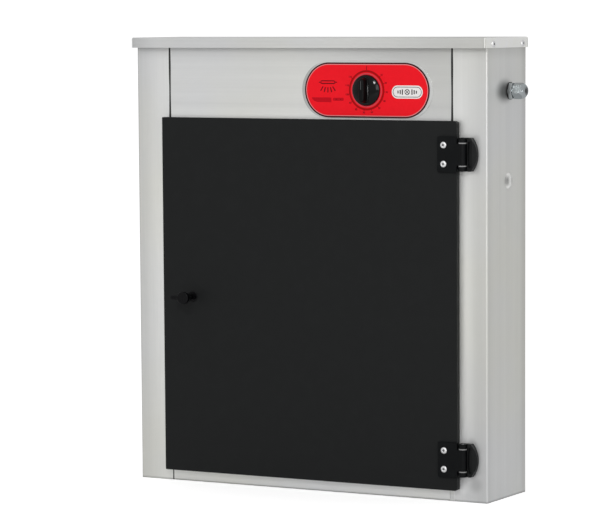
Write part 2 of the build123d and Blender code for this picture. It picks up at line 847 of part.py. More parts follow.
# Door switch: a plunger through the fascia that the closed door meets
collar_front = inner_front + switch_wall + seat_gap
collar_back = collar_front + switch_collar_height
plunger_end = collar_back + 1
cavity_depth = plunger_end + switch_travel + seat_gap - inner_front
with BuildPart() as switch_body:
    half = switch_width / 2
    switch_y = (inner_front, inner_front + switch_depth)
    block((switch_x - half, switch_x + half), switch_y, (floor_top, switch_top))
    fillet(switch_body.edges().filter_by(Axis.Y), 1)
    drill(front_plane(inner_front), [(switch_x, switch_z)], switch_plunger_radius + turning_gap, cavity_depth)
    cavity = front_plane(inner_front + switch_wall)
    drill(cavity, [(switch_x, switch_z)], switch_collar_radius + switch_gap, cavity_depth - switch_wall)
    drill(front_plane(inner_front), switch_screws_at, switch_screw_radius, switch_depth + 1)
save(switch_body, "switch_body")

with BuildPart() as switch_plunger:
    with BuildSketch(front_plane(plunger_end)):
        with Locations((switch_x, switch_z)):
            Circle(switch_plunger_radius)
    extrude(amount=plunger_end - door_back - switch_gap)
    fillet(switch_plunger.edges().sort_by(Axis.Y)[0], 0.8)
    with BuildSketch(front_plane(collar_back)):
        with Locations((switch_x, switch_z)):
            Circle(switch_collar_radius)
    extrude(amount=switch_collar_height)
save(switch_plunger, "switch_plunger")

with BuildPart() as switch_screws:
    for x, z in switch_screws_at:
        with Locations(Plane(origin=(x, front, z), z_dir=(0, -1, 0))):
            screw_length = sheet + switch_depth
            add(pan_screw(screw_length, switch_screw_radius, switch_screw_head, switch_screw_head_height))
save(switch_screws, "switch_screws")

# Cable gland on the right side, seen from its washer outwards
gland_axis = Axis((0, gland_y, gland_z), (1, 0, 0))
hex_start = half_width + gland_washer_thickness
hex_end = hex_start + gland_hex_height
cap_start = hex_end + gland_neck_height
cap_end = cap_start + gland_cap_height
collar_end = cap_start + 0.55 * gland_cap_height
collar_radius = gland_cap_across / 2 - gland_cap_wall
nose_radius = gland_bore_radius + 0.7
tail_radius = gland_thread_radius - turning_gap


def on_gland(x):
    """Plane across the gland's axis at x, with its own origin on the axis."""
    return Plane(origin=(x, gland_y, gland_z), x_dir=(0, 1, 0), z_dir=(1, 0, 0))


def gland_round(x_low, x_high, radius, mode=Mode.ADD):
    """Adds or cuts a cylinder along the gland's axis."""
    with BuildSketch(on_gland(x_low)) as section:
        Circle(radius)
    extrude(section.sketch, amount=x_high - x_low, mode=mode)


with BuildPart() as gland_washer:
    gland_round(half_width, hex_start, gland_washer_radius)
    gland_round(half_width, hex_start, gland_thread_radius, Mode.SUBTRACT)
save(gland_washer, "gland_washer")

with BuildPart() as gland_body:
    with Locations(on_gland(hex_start)):
        add(hex_nut(gland_across, gland_hex_height, gland_bore_radius))
    chamfer(gland_body.edges().filter_by(GeomType.LINE).group_by(Axis.X)[-1], 0.5)
    gland_round(hex_end - 0.2, collar_end, collar_radius)
    gland_round(inner_x - gland_tail, hex_start + 0.2, tail_radius)
    gland_round(inner_x - gland_tail - 1, collar_end + 1, gland_bore_radius, Mode.SUBTRACT)
save(gland_body, "gland_body")

with BuildPart() as gland_cap:
    with BuildSketch(on_gland(cap_start)):
        RegularPolygon(gland_cap_across / 2, 6, major_radius=False, rotation=15)
    extrude(amount=gland_cap_height)
    with BuildSketch(Plane.XY.offset(gland_z)) as dome:
        with BuildLine():
            top_y = gland_y + gland_cap_across
            shoulder = (cap_start + 0.62 * gland_cap_height, gland_y + 0.57 * gland_cap_across)
            crown = (cap_start + 0.88 * gland_cap_height, gland_y + 0.45 * gland_cap_across)
            nose = (cap_end, gland_y + 0.32 * gland_cap_across)
            Polyline((cap_start - 1, gland_y), (cap_start - 1, top_y), (shoulder[0], top_y), shoulder)
            ThreePointArc(shoulder, crown, nose)
            Polyline(nose, (cap_end, gland_y), (cap_start - 1, gland_y))
        make_face()
    revolve(axis=gland_axis, mode=Mode.INTERSECT)
    gland_round(cap_start - 1, collar_end + gland_seal_flange, collar_radius + turning_gap, Mode.SUBTRACT)
    gland_round(cap_start, cap_end + 1, nose_radius + turning_gap, Mode.SUBTRACT)
save(gland_cap, "gland_cap")

with BuildPart() as gland_insert:
    gland_round(collar_end, collar_end + gland_seal_flange, collar_radius)
    gland_round(collar_end, cap_end - 0.4, nose_radius)
    gland_round(collar_end - 1, cap_end + 1, gland_insert_radius, Mode.SUBTRACT)
save(gland_insert, "gland_insert")

with BuildPart() as gland_locknut:
    with Locations(on_gland(inner_x - gland_locknut_height)):
        add(hex_nut(gland_across, gland_locknut_height, gland_thread_radius))
save(gland_locknut, "gland_locknut")

# Round plug in the right side: a dome over the hole and a skirt through it
with BuildPart() as round_plug:
    with BuildSketch(side_plane(half_width)):
        with Locations((plug_y, plug_z)):
            Circle(plug_radius)
    extrude(amount=plug_dome, taper=plug_slope)
    fillet(round_plug.edges().sort_by(Axis.X)[-1], plug_crown)
    with BuildSketch(side_plane(half_width)):
        with Locations((plug_y, plug_z)):
            Circle(plug_hole_radius - turning_gap)
            Circle(plug_hole_radius - turning_gap - plug_wall, mode=Mode.SUBTRACT)
    extrude(amount=-plug_depth)
save(round_plug, "round_plug")

# Lamp: glass tube with two capped ends, held under the equipment floor below a reflector
lamp_half = lamp_length / 2
glass_radius = lamp_radius - lamp_cap_wall - turning_gap
glass_half = lamp_half - 2
pin_zs = (-lamp_pin_spacing / 2, lamp_pin_spacing / 2)


def on_lamp(x):
    """Plane across the lamp's axis at x, with its own origin on the axis."""
    return Plane(origin=(x, lamp_y, lamp_z), x_dir=(0, 1, 0), z_dir=(1, 0, 0))


with BuildPart() as lamp_tube:
    with BuildSketch(on_lamp(-glass_half)):
        Circle(glass_radius)
        Circle(glass_radius - lamp_glass_wall, mode=Mode.SUBTRACT)
    extrude(amount=2 * glass_half)
save(lamp_tube, "lamp_tube")

with BuildPart() as lamp_caps:
    for hand in (-1, 1):
        with BuildSketch(on_lamp(hand * lamp_half)):
            Circle(lamp_radius)
        extrude(amount=-hand * lamp_cap_length)
        with BuildSketch(on_lamp(hand * glass_half)):
            Circle(lamp_radius - lamp_cap_wall)
        extrude(amount=-hand * lamp_cap_length, mode=Mode.SUBTRACT)
        with BuildSketch(on_lamp(hand * lamp_half)):
            with Locations(*[(0, z) for z in pin_zs]):
                Circle(lamp_pin_radius)
        extrude(amount=-hand * lamp_cap_length, mode=Mode.SUBTRACT)
save(lamp_caps, "lamp_caps")

with BuildPart() as lamp_pins:
    for hand in (-1, 1):
        with BuildSketch(on_lamp(hand * glass_half)):
            with Locations(*[(0, z) for z in pin_zs]):
                Circle(lamp_pin_radius)
        extrude(amount=hand * (lamp_half - glass_half + lamp_pin_length))
save(lamp_pins, "lamp_pins")

with BuildPart() as lamp_holders:
    for hand in (-1, 1):
        x_limits = sorted((hand * (lamp_half + seat_gap), hand * (lamp_half + seat_gap + holder_thickness)))
        y_limits = (lamp_y - holder_width / 2, lamp_y + holder_width / 2)
        block(x_limits, y_limits, (lamp_z - holder_below_axis, floor_bottom))
    fillet(lamp_holders.edges().filter_by(Axis.X).group_by(Axis.Z)[0], 6)
    for hand in (-1, 1):
        slot_x = sorted((hand * lamp_half, hand * (lamp_half + lamp_pin_length + 1.5)))
        slot_y = (lamp_y - lamp_pin_radius - switch_gap, lamp_y + lamp_pin_radius + switch_gap)
        slot_top = lamp_z + lamp_pin_spacing / 2 + lamp_pin_radius + switch_gap
        block(slot_x, slot_y, (lamp_z - holder_below_axis - 1, slot_top), Mode.SUBTRACT)
    drill(Plane.XY.offset(floor_bottom), holder_screws_at, holder_screw_radius, holder_screw_depth)
save(lamp_holders, "lamp_holders")

with BuildPart() as lamp_holder_screws:
    for x, y in holder_screws_at:
        with Locations((x, y, floor_top)):
            screw_length = sheet + holder_screw_depth - 1
            add(pan_screw(screw_length, holder_screw_radius, screw_head, screw_head_height))
save(lamp_holder_screws, "lamp_holder_screws")

with BuildPart() as lamp_reflector:
    with BuildSketch(side_plane(-reflector_length / 2)):
        folded_section(
            (lamp_y + reflector_width / 2, floor_bottom - reflector_drop),
            (lamp_y + reflector_flat / 2, floor_bottom),
            (lamp_y - reflector_flat / 2, floor_bottom),
            (lamp_y - reflector_width / 2, floor_bottom - reflector_drop),
        )
    extrude(amount=reflector_length)
save(lamp_reflector, "lamp_reflector")

# Knife rack: a slotted channel that hangs on two arms from the back and lifts off them
rack_back = rack_front + rack_depth
with BuildPart() as knife_rack:
    with BuildSketch(side_plane(-rack_length / 2)):
        folded_section(
            (rack_back, rack_height - rack_lip),
            (rack_back, rack_height),
            (rack_front, rack_height),
            (rack_front, rack_height - rack_lip),
        )
    extrude(amount=rack_length)
    with BuildSketch(Plane.XY.offset(rack_height)):
        with Locations((0, (rack_front + rack_back) / 2)):
            with GridLocations(rack_slot_pitch, 1, rack_slot_count, 1):
                SlotOverall(rack_slot_length, rack_slot_width, rotation=90)
    extrude(amount=-2 * sheet, mode=Mode.SUBTRACT)
save(knife_rack, "knife_rack")

for name, hand in {"left": -1, "right": 1}.items():
    with BuildPart() as rack_arm:
        plate_x = sorted((hand * arm_x, hand * (arm_x - arm_thickness)))
        flange_x = sorted((hand * arm_x, hand * (arm_x - arm_flange)))
        flange_z = (arm_top - arm_flange_height + arm_flange_rise, arm_top + arm_flange_rise)
        block(plate_x, (rack_front + sheet + 0.5, back_face), (arm_top - arm_height, arm_top))
        fillet(rack_arm.edges().filter_by(Axis.X).group_by(Axis.Y)[0].sort_by(Axis.Z)[0], arm_nose_radius)
        notch_y = (rack_back - sheet - 0.5, rack_back + 0.5)
        block(plate_x, notch_y, (arm_top - arm_notch, arm_top + 1), Mode.SUBTRACT)
        block(flange_x, (back_face - arm_thickness, back_face), flange_z)
        rivets_here = [(x, z) for x, z in arm_rivets_at if x * hand > 0]
        drill(front_plane(back_face - arm_thickness), rivets_here, rivet_shank, 2 * arm_thickness)
    save(rack_arm, f"rack_arm_{name}")

with BuildPart() as rack_arm_rivets:
    for x, z in arm_rivets_at:
        with Locations(Plane(origin=(x, back_face - arm_thickness, z), z_dir=(0, -1, 0))):
            add(blind_rivet(arm_thickness + sheet))
save(rack_arm_rivets, "rack_arm_rivets")

# Electrical pieces on the equipment floor
with BuildPart() as ballast:
    half = ballast_length / 2
    ballast_x_limits = (ballast_x - half, ballast_x + half)
    ballast_y_limits = (ballast_y - ballast_width / 2, ballast_y + ballast_width / 2)
    block(ballast_x_limits, ballast_y_limits, (floor_top, floor_top + ballast_height))
    fillet(ballast.edges().filter_by(Axis.X).group_by(Axis.Z)[-1], ballast_edge)
    foot_x_limits = (ballast_x - half - ballast_foot, ballast_x + half + ballast_foot)
    block(foot_x_limits, ballast_y_limits, (floor_top, floor_top + ballast_foot_thickness))
    foot_top = Plane.XY.offset(floor_top + ballast_foot_thickness)
    drill(foot_top, ballast_screws_at, holder_screw_radius, 2 * ballast_foot_thickness)
save(ballast, "ballast")

with BuildPart() as ballast_screws:
    for x, y in ballast_screws_at:
        with Locations((x, y, floor_top + ballast_foot_thickness)):
            screw_length = ballast_foot_thickness + sheet + 3
            add(pan_screw(screw_length, holder_screw_radius, screw_head, screw_head_height))
save(ballast_screws, "ballast_screws")

starter_seat = floor_top + starter_base_height
with BuildPart() as starter_base:
    with BuildSketch(Plane.XY.offset(floor_top)):
        with Locations((starter_x, starter_y)):
            RectangleRounded(starter_base_size, starter_base_size, starter_base_corner)
    extrude(amount=starter_base_height)
save(starter_base, "starter_base")

with BuildPart() as starter:
    with BuildSketch(Plane.XY.offset(starter_seat)):
        with Locations((starter_x, starter_y)):
            Circle(starter_radius)
    extrude(amount=starter_height)
    fillet(starter.edges().group_by(Axis.Z)[-1], starter_edge)
save(starter, "starter")

with BuildPart() as terminal_block:
    with BuildSketch(Plane.XY.offset(floor_top)):
        with Locations((terminal_x, terminal_y)):
            RectangleRounded(terminal_length, terminal_width, 1.5)
    extrude(amount=terminal_height)
    terminal_pitch = terminal_length / (terminal_ways + 0.5)
    with BuildSketch(Plane.XY.offset(floor_top + terminal_height)):
        with Locations((terminal_x, terminal_y)):
            with GridLocations(terminal_pitch, terminal_width / 2, terminal_ways, 2):
                Circle(0.22 * terminal_pitch)
    extrude(amount=-0.4 * terminal_height, mode=Mode.SUBTRACT)
save(terminal_block, "terminal_block")

with BuildPart() as earth_stud:
    with Locations((earth_x, earth_y, floor_bottom - earth_head_height / 2)):
        Cylinder(2 * earth_radius, earth_head_height)
    with Locations((earth_x, earth_y, floor_bottom + earth_height / 2)):
        Cylinder(earth_radius, earth_height)
save(earth_stud, "earth_stud")

with BuildPart() as earth_nut:
    with Locations((earth_x, earth_y, floor_top)):
        add(hex_nut(3.5 * earth_radius, 1.6 * earth_radius, earth_radius))
save(earth_nut, "earth_nut")

# Wires between the electrical pieces, each along straight runs with round bends
wire_z = floor_top + wire_rise
upper_wire_z = wire_z + 4
lamp_wire_z = lamp_z + wire_above_lamp
timer_side = timer_width / 2
timer_wire_y = inner_front + 0.75 * timer_depth
terminal_left = terminal_x - terminal_length / 2
terminal_right = terminal_x + terminal_length / 2
terminal_near = terminal_y - terminal_width / 2
ballast_near = ballast_y - ballast_width / 2
ballast_right = ballast_x + ballast_length / 2
starter_left = starter_x - starter_base_size / 2
switch_side = switch_x + switch_width / 2
switch_rear = inner_front + switch_depth
holder_near = lamp_y - holder_width / 2
hole_y = wire_holes_at[0][1]
between_x = (starter_x + starter_base_size / 2 + control_x - timer_side) / 2
behind_timer_x = between_x + 14
routes = [
    [
        (terminal_left + 8, terminal_near, wire_z),
        (terminal_left + 8, timer_wire_y, wire_z),
        (terminal_left + 8, timer_wire_y, control_z),
        (control_x + timer_side, timer_wire_y, control_z),
    ],
    [
        (control_x - timer_side, timer_wire_y, control_z),
        (between_x, timer_wire_y, control_z),
        (between_x, timer_wire_y, wire_z),
        (between_x, switch_rear - 5, wire_z),
        (switch_side, switch_rear - 5, wire_z),
    ],
    [(switch_x, switch_rear, wire_z), (switch_x, ballast_near, wire_z)],
    [
        (ballast_right, ballast_y, wire_z),
        ((ballast_right + starter_left) / 2, ballast_y, wire_z),
        ((ballast_right + starter_left) / 2, starter_y, wire_z),
        (starter_left, starter_y, wire_z),
    ],
    [
        (ballast_x - ballast_length / 2, ballast_y, upper_wire_z),
        (-holder_x, ballast_y, upper_wire_z),
        (-holder_x, hole_y, upper_wire_z),
        (-holder_x, hole_y, lamp_wire_z),
        (-holder_x, holder_near, lamp_wire_z),
    ],
    [
        (terminal_right, terminal_y, wire_z),
        (holder_x, terminal_y, wire_z),
        (holder_x, hole_y, wire_z),
        (holder_x, hole_y, lamp_wire_z),
        (holder_x, holder_near, lamp_wire_z),
    ],
    [
        (terminal_left, terminal_y, wire_z),
        (behind_timer_x, terminal_y, wire_z),
        (behind_timer_x, starter_y, wire_z),
        (starter_x + starter_base_size / 2, starter_y, wire_z),
    ],
    [
        (terminal_right - 10, terminal_near, wire_z),
        (terminal_right - 10, timer_wire_y, wire_z),
        (earth_x, timer_wire_y, wire_z),
        (earth_x, earth_y - earth_radius, wire_z),
    ],
]
with BuildPart() as wiring:
    for route in routes:
        with BuildLine() as path:
            if len(route) > 2:
                FilletPolyline(*route, radius=wire_bend)
            else:
                Line(*route)
        with BuildSketch(Plane(origin=path.line @ 0, z_dir=path.line % 0)):
            Circle(wire_radius)
        sweep(path=path.line)
save(wiring, "wiring")
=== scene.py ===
"""The looks of a knife sterilizer cabinet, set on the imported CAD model. Lengths are in metres."""
import math

import bmesh
import bpy
from mathutils import Matrix, Vector


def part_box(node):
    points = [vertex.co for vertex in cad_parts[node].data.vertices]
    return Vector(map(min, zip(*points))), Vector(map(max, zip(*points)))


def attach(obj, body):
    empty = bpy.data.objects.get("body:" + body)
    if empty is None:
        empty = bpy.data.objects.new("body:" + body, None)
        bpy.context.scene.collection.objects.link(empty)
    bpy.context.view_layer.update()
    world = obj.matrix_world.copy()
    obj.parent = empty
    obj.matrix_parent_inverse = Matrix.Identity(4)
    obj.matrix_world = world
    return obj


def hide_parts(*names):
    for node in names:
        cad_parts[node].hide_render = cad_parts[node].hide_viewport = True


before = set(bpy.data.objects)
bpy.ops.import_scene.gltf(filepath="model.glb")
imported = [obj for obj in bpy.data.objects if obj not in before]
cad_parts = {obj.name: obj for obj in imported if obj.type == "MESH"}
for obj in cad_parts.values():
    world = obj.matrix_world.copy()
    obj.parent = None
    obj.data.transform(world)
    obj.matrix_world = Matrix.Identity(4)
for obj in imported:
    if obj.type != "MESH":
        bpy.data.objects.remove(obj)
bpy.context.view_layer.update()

scene = bpy.context.scene


# Studio. The camera stands to the right of the front, a little above the cabinet's middle, at the
# photograph's viewing angle. A pale floor runs to the horizon, under a broad soft white sky.
def add_object(name, data):
    """An object in the scene, for a mesh, a lamp or a camera."""
    made = bpy.data.objects.new(name, data)
    scene.collection.objects.link(made)
    return made


camera_place = (2.1323, -3.9046, 0.6772)
view_right = Vector((0.88127358, 0.47258166, -0.004842))
view_up = Vector((-0.04402882, 0.09229738, 0.99475759))
view_forward = Vector((-0.4705511, 0.87644039, -0.10214646))
camera_data = bpy.data.cameras.new("camera")
camera_data.sensor_width = 36
camera_data.lens = 187.57
camera_data.shift_x = -0.0866
camera_data.shift_y = 0.1101
camera_data.clip_end = 100
camera = add_object("camera", camera_data)
camera_turn = Matrix((view_right, view_up, -view_forward)).transposed().to_4x4()
camera.matrix_world = Matrix.Translation(camera_place) @ camera_turn
scene.camera = camera
scene.view_settings.view_transform = "Standard"


def give(tree, socket, value):
    """Feeds a socket from another node's output, or sets its value."""
    if isinstance(value, bpy.types.NodeSocket):
        tree.links.new(value, socket)
    else:
        socket.default_value = value


def put(tree, kind, settings=None, **sockets):
    """Adds a node; a socket is named, or _0, _1 by its place, and takes a value or a link."""
    made = tree.nodes.new(kind if kind.startswith(("Geometry", "Function")) else "ShaderNode" + kind)
    for name, value in (settings or {}).items():
        setattr(made, name, value)
    for name, value in sockets.items():
        socket = made.inputs[int(name[1:])] if name[0] == "_" else made.inputs[name.replace("_", " ")]
        give(tree, socket, value)
    return made


def scaled(tree, value, low, high, start=0.0, end=1.0, kind="LINEAR"):
    """Maps a mask or a noise from its span between start and end onto low to high."""
    return put(tree, "MapRange", {"interpolation_type": kind}, Value=value, From_Min=start, From_Max=end,
               To_Min=low, To_Max=high).outputs[0]


sky_light, sky_shade, backdrop_light = 0.68, 0.55, 1.05
shaded_side, shade_start, shade_end = (0.72, 0.69, 0.0), 0.5, 0.98
sky = bpy.data.worlds.new("sky")
sky.use_nodes = True
sky_tree = sky.node_tree
sky_tree.nodes.clear()
sky_ray = put(sky_tree, "TexCoord").outputs["Generated"]
away = put(sky_tree, "VectorMath", {"operation": "DOT_PRODUCT"}, _0=sky_ray, _1=shaded_side).outputs["Value"]
dim = scaled(sky_tree, away, sky_light, sky_shade, shade_start, shade_end, "SMOOTHSTEP")
by_camera = put(sky_tree, "LightPath").outputs["Is Camera Ray"]
seen = put(sky_tree, "Mix", Factor=by_camera, _2=dim, _3=backdrop_light).outputs[0]
light = put(sky_tree, "Background", Color=(1.0, 1.0, 1.0, 1.0), Strength=seen).outputs["Background"]
put(sky_tree, "OutputWorld", Surface=light)
scene.world = sky


def soft_light(name, place, aim, size, power):
    """A square softbox at a place, facing a point."""
    lamp = bpy.data.lights.new(name, "AREA")
    lamp.size = size
    lamp.energy = power
    turn = (Vector(aim) - Vector(place)).to_track_quat("-Z", "Y").to_matrix().to_4x4()
    add_object(name, lamp).matrix_world = Matrix.Translation(place) @ turn


soft_light("key_light", (0.50, -2.55, 1.80), (0.1, 0, 0.45), 0.30, 15)
soft_light("fill_light", (1.7, -3.3, 1.2), (0.1, 0, 0.3), 1.2, 18)
soft_light("bend_light", (3.4, -1.9, 0.5), (0.28, -0.06, 0.3), 0.35, 5)

floor_half, floor_glow = 30, 0.50
floor_corners = [(floor_half * x, floor_half * y, 0) for x, y in ((-1, -1), (1, -1), (1, 1), (-1, 1))]
floor_mesh = bpy.data.meshes.new("floor")
floor_mesh.from_pydata(floor_corners, [], [(0, 1, 2, 3)])
floor = add_object("floor", floor_mesh)
floor_look = bpy.data.materials.new("floor")
floor_look.use_nodes = True
floor_tree = floor_look.node_tree
floor_shader = floor_tree.nodes["Principled BSDF"].inputs
floor_shader["Base Color"].default_value = (0.86, 0.86, 0.86, 1)
floor_shader["Roughness"].default_value = 0.9
floor_shader["Specular IOR Level"].default_value = 0
floor_shader["Emission Color"].default_value = (1, 1, 1, 1)
by_camera = put(floor_tree, "LightPath").outputs["Is Camera Ray"]
glow = put(floor_tree, "Math", {"operation": "MULTIPLY"}, _0=by_camera, _1=floor_glow).outputs[0]
floor_tree.links.new(glow, floor_shader["Emission Strength"])
floor_mesh.materials.append(floor_look)


# Case sheets. Satin stainless steel, 1.2 mm thick, ground in one direction at the mill, then cut,
# folded and joined. The sides' grain runs up, and the fascia's, base's and lid's runs across.
def new_group(name, inputs, outputs):
    """An empty shader node group with named sockets."""
    group = bpy.data.node_groups.new(name, "ShaderNodeTree")
    for socket, kind in inputs.items():
        group.interface.new_socket(socket, in_out="INPUT", socket_type="NodeSocket" + kind)
    for socket, kind in outputs.items():
        group.interface.new_socket(socket, in_out="OUTPUT", socket_type="NodeSocket" + kind)
    return group, group.nodes.new("NodeGroupInput").outputs, group.nodes.new("NodeGroupOutput").inputs


def math_node(tree, operation, first, second=0.0, third=0.0):
    """The result of one Math node on up to three values."""
    return put(tree, "Math", {"operation": operation}, _0=first, _1=second, _2=third).outputs[0]


def noise(tree, place, scale, detail, rough, distortion=0.0):
    """A cloudy value from 0 to 1."""
    return put(tree, "TexNoise", Vector=place, Scale=scale, Detail=detail, Roughness=rough,
               Distortion=distortion).outputs[0]


# Ground grain: long streaks of three widths along one direction
grain, given, out = new_group(
    "ground_grain", {"Place": "Vector", "Stretch": "Vector", "Depth": "Float"},
    {"Height": "Float", "Streak": "Float", "Band": "Float"})
drawn = put(grain, "VectorMath", {"operation": "MULTIPLY"}, _0=given["Place"], _1=given["Stretch"]).outputs[0]
fine = noise(grain, drawn, 1.0, 4.0, 0.75)
coarse = noise(grain, drawn, 0.22, 3.0, 0.6)
broad = noise(grain, drawn, 0.03, 2.0, 0.5)
half_coarse = math_node(grain, "MULTIPLY", coarse, 0.5)
grain.links.new(math_node(grain, "MULTIPLY", fine, given["Depth"]), out["Height"])
grain.links.new(math_node(grain, "MULTIPLY_ADD", fine, 0.5, half_coarse), out["Streak"])
grain.links.new(broad, out["Band"])

# Handling: faint smudges and wiped patches, as a mask
smudge, given, out = new_group(
    "smudges", {"Place": "Vector", "Size": "Float", "Amount": "Float"}, {"Mask": "Float"})
cloudy = noise(smudge, given["Place"], given["Size"], 5.0, 0.62, distortion=0.6)
patch = scaled(smudge, cloudy, 0.0, 1.0, 0.42, 0.72, "SMOOTHSTEP")
smudge.links.new(math_node(smudge, "MULTIPLY", patch, given["Amount"]), out["Mask"])


def new_look(name):
    """A node material with its tree, its shader's inputs and its object coordinates."""
    look = bpy.data.materials.new(name)
    look.use_nodes = True
    tree = look.node_tree
    return look, tree, tree.nodes["Principled BSDF"].inputs, put(tree, "TexCoord").outputs["Object"]


def use_group(tree, group, **sockets):
    """Places a node group in a material, and returns its outputs."""
    used = tree.nodes.new("ShaderNodeGroup")
    used.node_tree = group
    for name, value in sockets.items():
        give(tree, used.inputs[name], value)
    return used.outputs


def mixed(tree, factor, first, second, blend="MIX"):
    """A colour between two others, or one laid over the other."""
    return put(tree, "Mix", {"data_type": "RGBA", "blend_type": blend}, Factor=factor, _6=first,
               _7=second).outputs[2]


def bumped(tree, height, strength, distance, **under):
    """The surface's direction after a bump; Normal is the bump that it lies on."""
    return put(tree, "Bump", Strength=strength, Distance=distance, Height=height, **under).outputs[0]


def shade_of(tone, share):
    """A colour made darker or lighter."""
    return tuple(min(1.0, c * share) for c in tone) + (1.0,)


def steel_look(name, stretch, tone, rough, patch_size=5.0, painted_fades=(), stains_and_painted_light=()):
    """Ground stainless steel whose grain runs where stretch is smallest.

    A painted gradient, (axis, from, to, shade before, shade after), paints light or shade; "-X" runs both
    ways from the middle.
    A patch is (centre, size, shade at its core): a real blotch, or painted light, shade or reflection. A
    shade over 1 lightens.
    """
    look, tree, shader, place = new_look(name)
    ground = use_group(tree, grain, Place=place, Stretch=stretch, Depth=1.0)
    touched = use_group(tree, smudge, Place=place, Size=7.0, Amount=1.0)["Mask"]
    tint = scaled(tree, noise(tree, place, patch_size, 2.0, 0.5), 0.0, 1.0, 0.35, 0.65)
    warm = tuple(c * t for c, t in zip(tone, (1.0, 1.0, 0.965))) + (1.0,)
    cool = tuple(c * t for c, t in zip(tone, (0.985, 0.992, 1.012))) + (1.0,)
    grain_and_painted_light = math_node(tree, "MULTIPLY", scaled(tree, ground["Streak"], 0.965, 1.03, 0.3, 0.7),
                       scaled(tree, ground["Band"], 0.975, 1.02, 0.3, 0.7))
    parted = put(tree, "SeparateXYZ", Vector=place).outputs
    # Painted light and shade: each gradient darkens or lightens the steel along one axis.
    for axis, start, end, before, after in painted_fades:
        along = math_node(tree, "ABSOLUTE", parted[axis[-1]]) if axis[0] == "-" else parted[axis]
        one_painted_fade = scaled(tree, along, before, after, start, end, "SMOOTHSTEP")
        grain_and_painted_light = math_node(tree, "MULTIPLY", grain_and_painted_light, one_painted_fade)
    # Patches: real blotches, and spots of painted light, shade, shadow and reflection.
    for centre, size, core in stains_and_painted_light:
        aside = put(tree, "VectorMath", {"operation": "SUBTRACT"}, _0=place, _1=centre).outputs[0]
        spread = put(tree, "VectorMath", {"operation": "DIVIDE"}, _0=aside, _1=size).outputs[0]
        reach = put(tree, "VectorMath", {"operation": "LENGTH"}, _0=spread).outputs["Value"]
        stain_and_painted_light = scaled(tree, reach, core, 1.0, 0.15, 1.0, "SMOOTHSTEP")
        grain_and_painted_light = math_node(tree, "MULTIPLY", grain_and_painted_light, stain_and_painted_light)
    wiped = math_node(tree, "MULTIPLY", grain_and_painted_light, scaled(tree, touched, 1.0, 0.965))
    grey = put(tree, "CombineColor", Red=wiped, Green=wiped, Blue=wiped).outputs[0]
    shaded = mixed(tree, 1.0, mixed(tree, tint, warm, cool), grey, blend="MULTIPLY")
    tree.links.new(shaded, shader["Base Color"])
    tree.links.new(scaled(tree, touched, 0.86, 0.74), shader["Metallic"])
    streaked = scaled(tree, ground["Streak"], rough - 0.05, rough + 0.06, 0.3, 0.7)
    roughness = math_node(tree, "ADD", streaked, scaled(tree, touched, 0.0, 0.05))
    tree.links.new(roughness, shader["Roughness"])
    slack_depth, scratch_depth = 0.0006, 0.00004
    slack = bumped(tree, noise(tree, place, 4.5, 1.0, 0.4), 0.5, slack_depth)
    tree.links.new(bumped(tree, ground["Height"], 0.22, scratch_depth, Normal=slack), shader["Normal"])
    return look


def dress(look, *names):
    """Gives CAD nodes a material in place of their plain one."""
    for name in names:
        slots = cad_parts[name].data.materials
        slots.clear()
        slots.append(look)


steel_tone, sheet_rough = (0.74, 0.74, 0.727), 0.48
grain_up, grain_across, grain_all_ways = (2400.0, 2400.0, 26.0), (26.0, 2400.0, 2400.0), (300.0, 300.0, 300.0)

# Painted light and shade: gradients of tone across the sheets that show in front, at the foot, below the lid
# and at its ends
# Painted shadow below the lid's front, and painted shade at the foot of the sheets.
under_lid_painted_shadow = ("Z", 0.606, 0.626, 1.0, 0.88)
foot_painted_shade = ("Z", 0.0, 0.0038, 0.60, 1.0)
# Left strip: painted light towards the door, and painted shade at its outer edge.
left_painted_light_and_shade = (("X", -0.281, -0.238, 0.93, 1.13), ("X", -0.2803, -0.2770, 0.62, 1.0), under_lid_painted_shadow, foot_painted_shade)
# Right side: painted light up its height, painted shade by the front bend and towards its back edge.
right_painted_light_and_shade = (("Z", 0.05, 0.60, 0.99, 1.04), ("Y", -0.058, -0.045, 0.97, 1.02),
               ("Y", 0.036, 0.062, 1.0, 0.85), under_lid_painted_shadow, foot_painted_shade)
# Fascia: painted shade towards the right, and painted light just above the door.
fascia_painted_light_and_shade = (("X", -0.02, 0.20, 1.06, 0.87), ("Z", 0.528, 0.548, 1.16, 1.0), under_lid_painted_shadow)
# Base strip: painted light.
base_painted_light = (("Z", 0.0, 0.02, 1.14, 1.2), foot_painted_shade)
# Lid: painted light on its side flanges, and painted shade just inside them, at its left end and towards its
# right end.
lid_painted_light_and_shade = (("-X", 0.2805, 0.2815, 1.0, 1.75), ("-X", 0.2755, 0.2795, 1.0, 0.94),
             ("X", -0.284, -0.235, 0.85, 1.0), ("X", 0.05, 0.27, 1.0, 0.84))

# Patches on the front strips, the bend and the right side. Those by the weld are real blotches left by
# grinding; the rest are painted light and shade: a painted sheen on the left strip, painted shade along the
# right strip, a painted highlight along the bend, painted light beside the door's edge, a painted shadow and
# reflection by the gland, and painted shadow round the plug and the hinges. Two are drawn out so far that
# they run the whole height of the case.
strip_y, side_x = -0.062, 0.280
whole_height = 3.0
left_painted_sheen = ((-0.243, strip_y, 0.28), (0.032, 0.006, 0.30), 1.06)
gland_painted_shadow = ((side_x, -0.008, 0.566), (0.020, 0.034, 0.021), 0.26)
plug_painted_shade = ((side_x, 0.0043, 0.442), (0.02, 0.016, 0.016), 0.85)
strip_painted_shade = ((0.275, strip_y, 0.32), (0.020, 0.005, whole_height), 0.91)
bend_painted_highlight = ((0.2803, -0.0615, 0.32), (0.0036, 0.0036, whole_height), 1.10)
door_edge_painted_light = ((0.238, strip_y, 0.26), (0.026, 0.006, 0.42), 1.30)
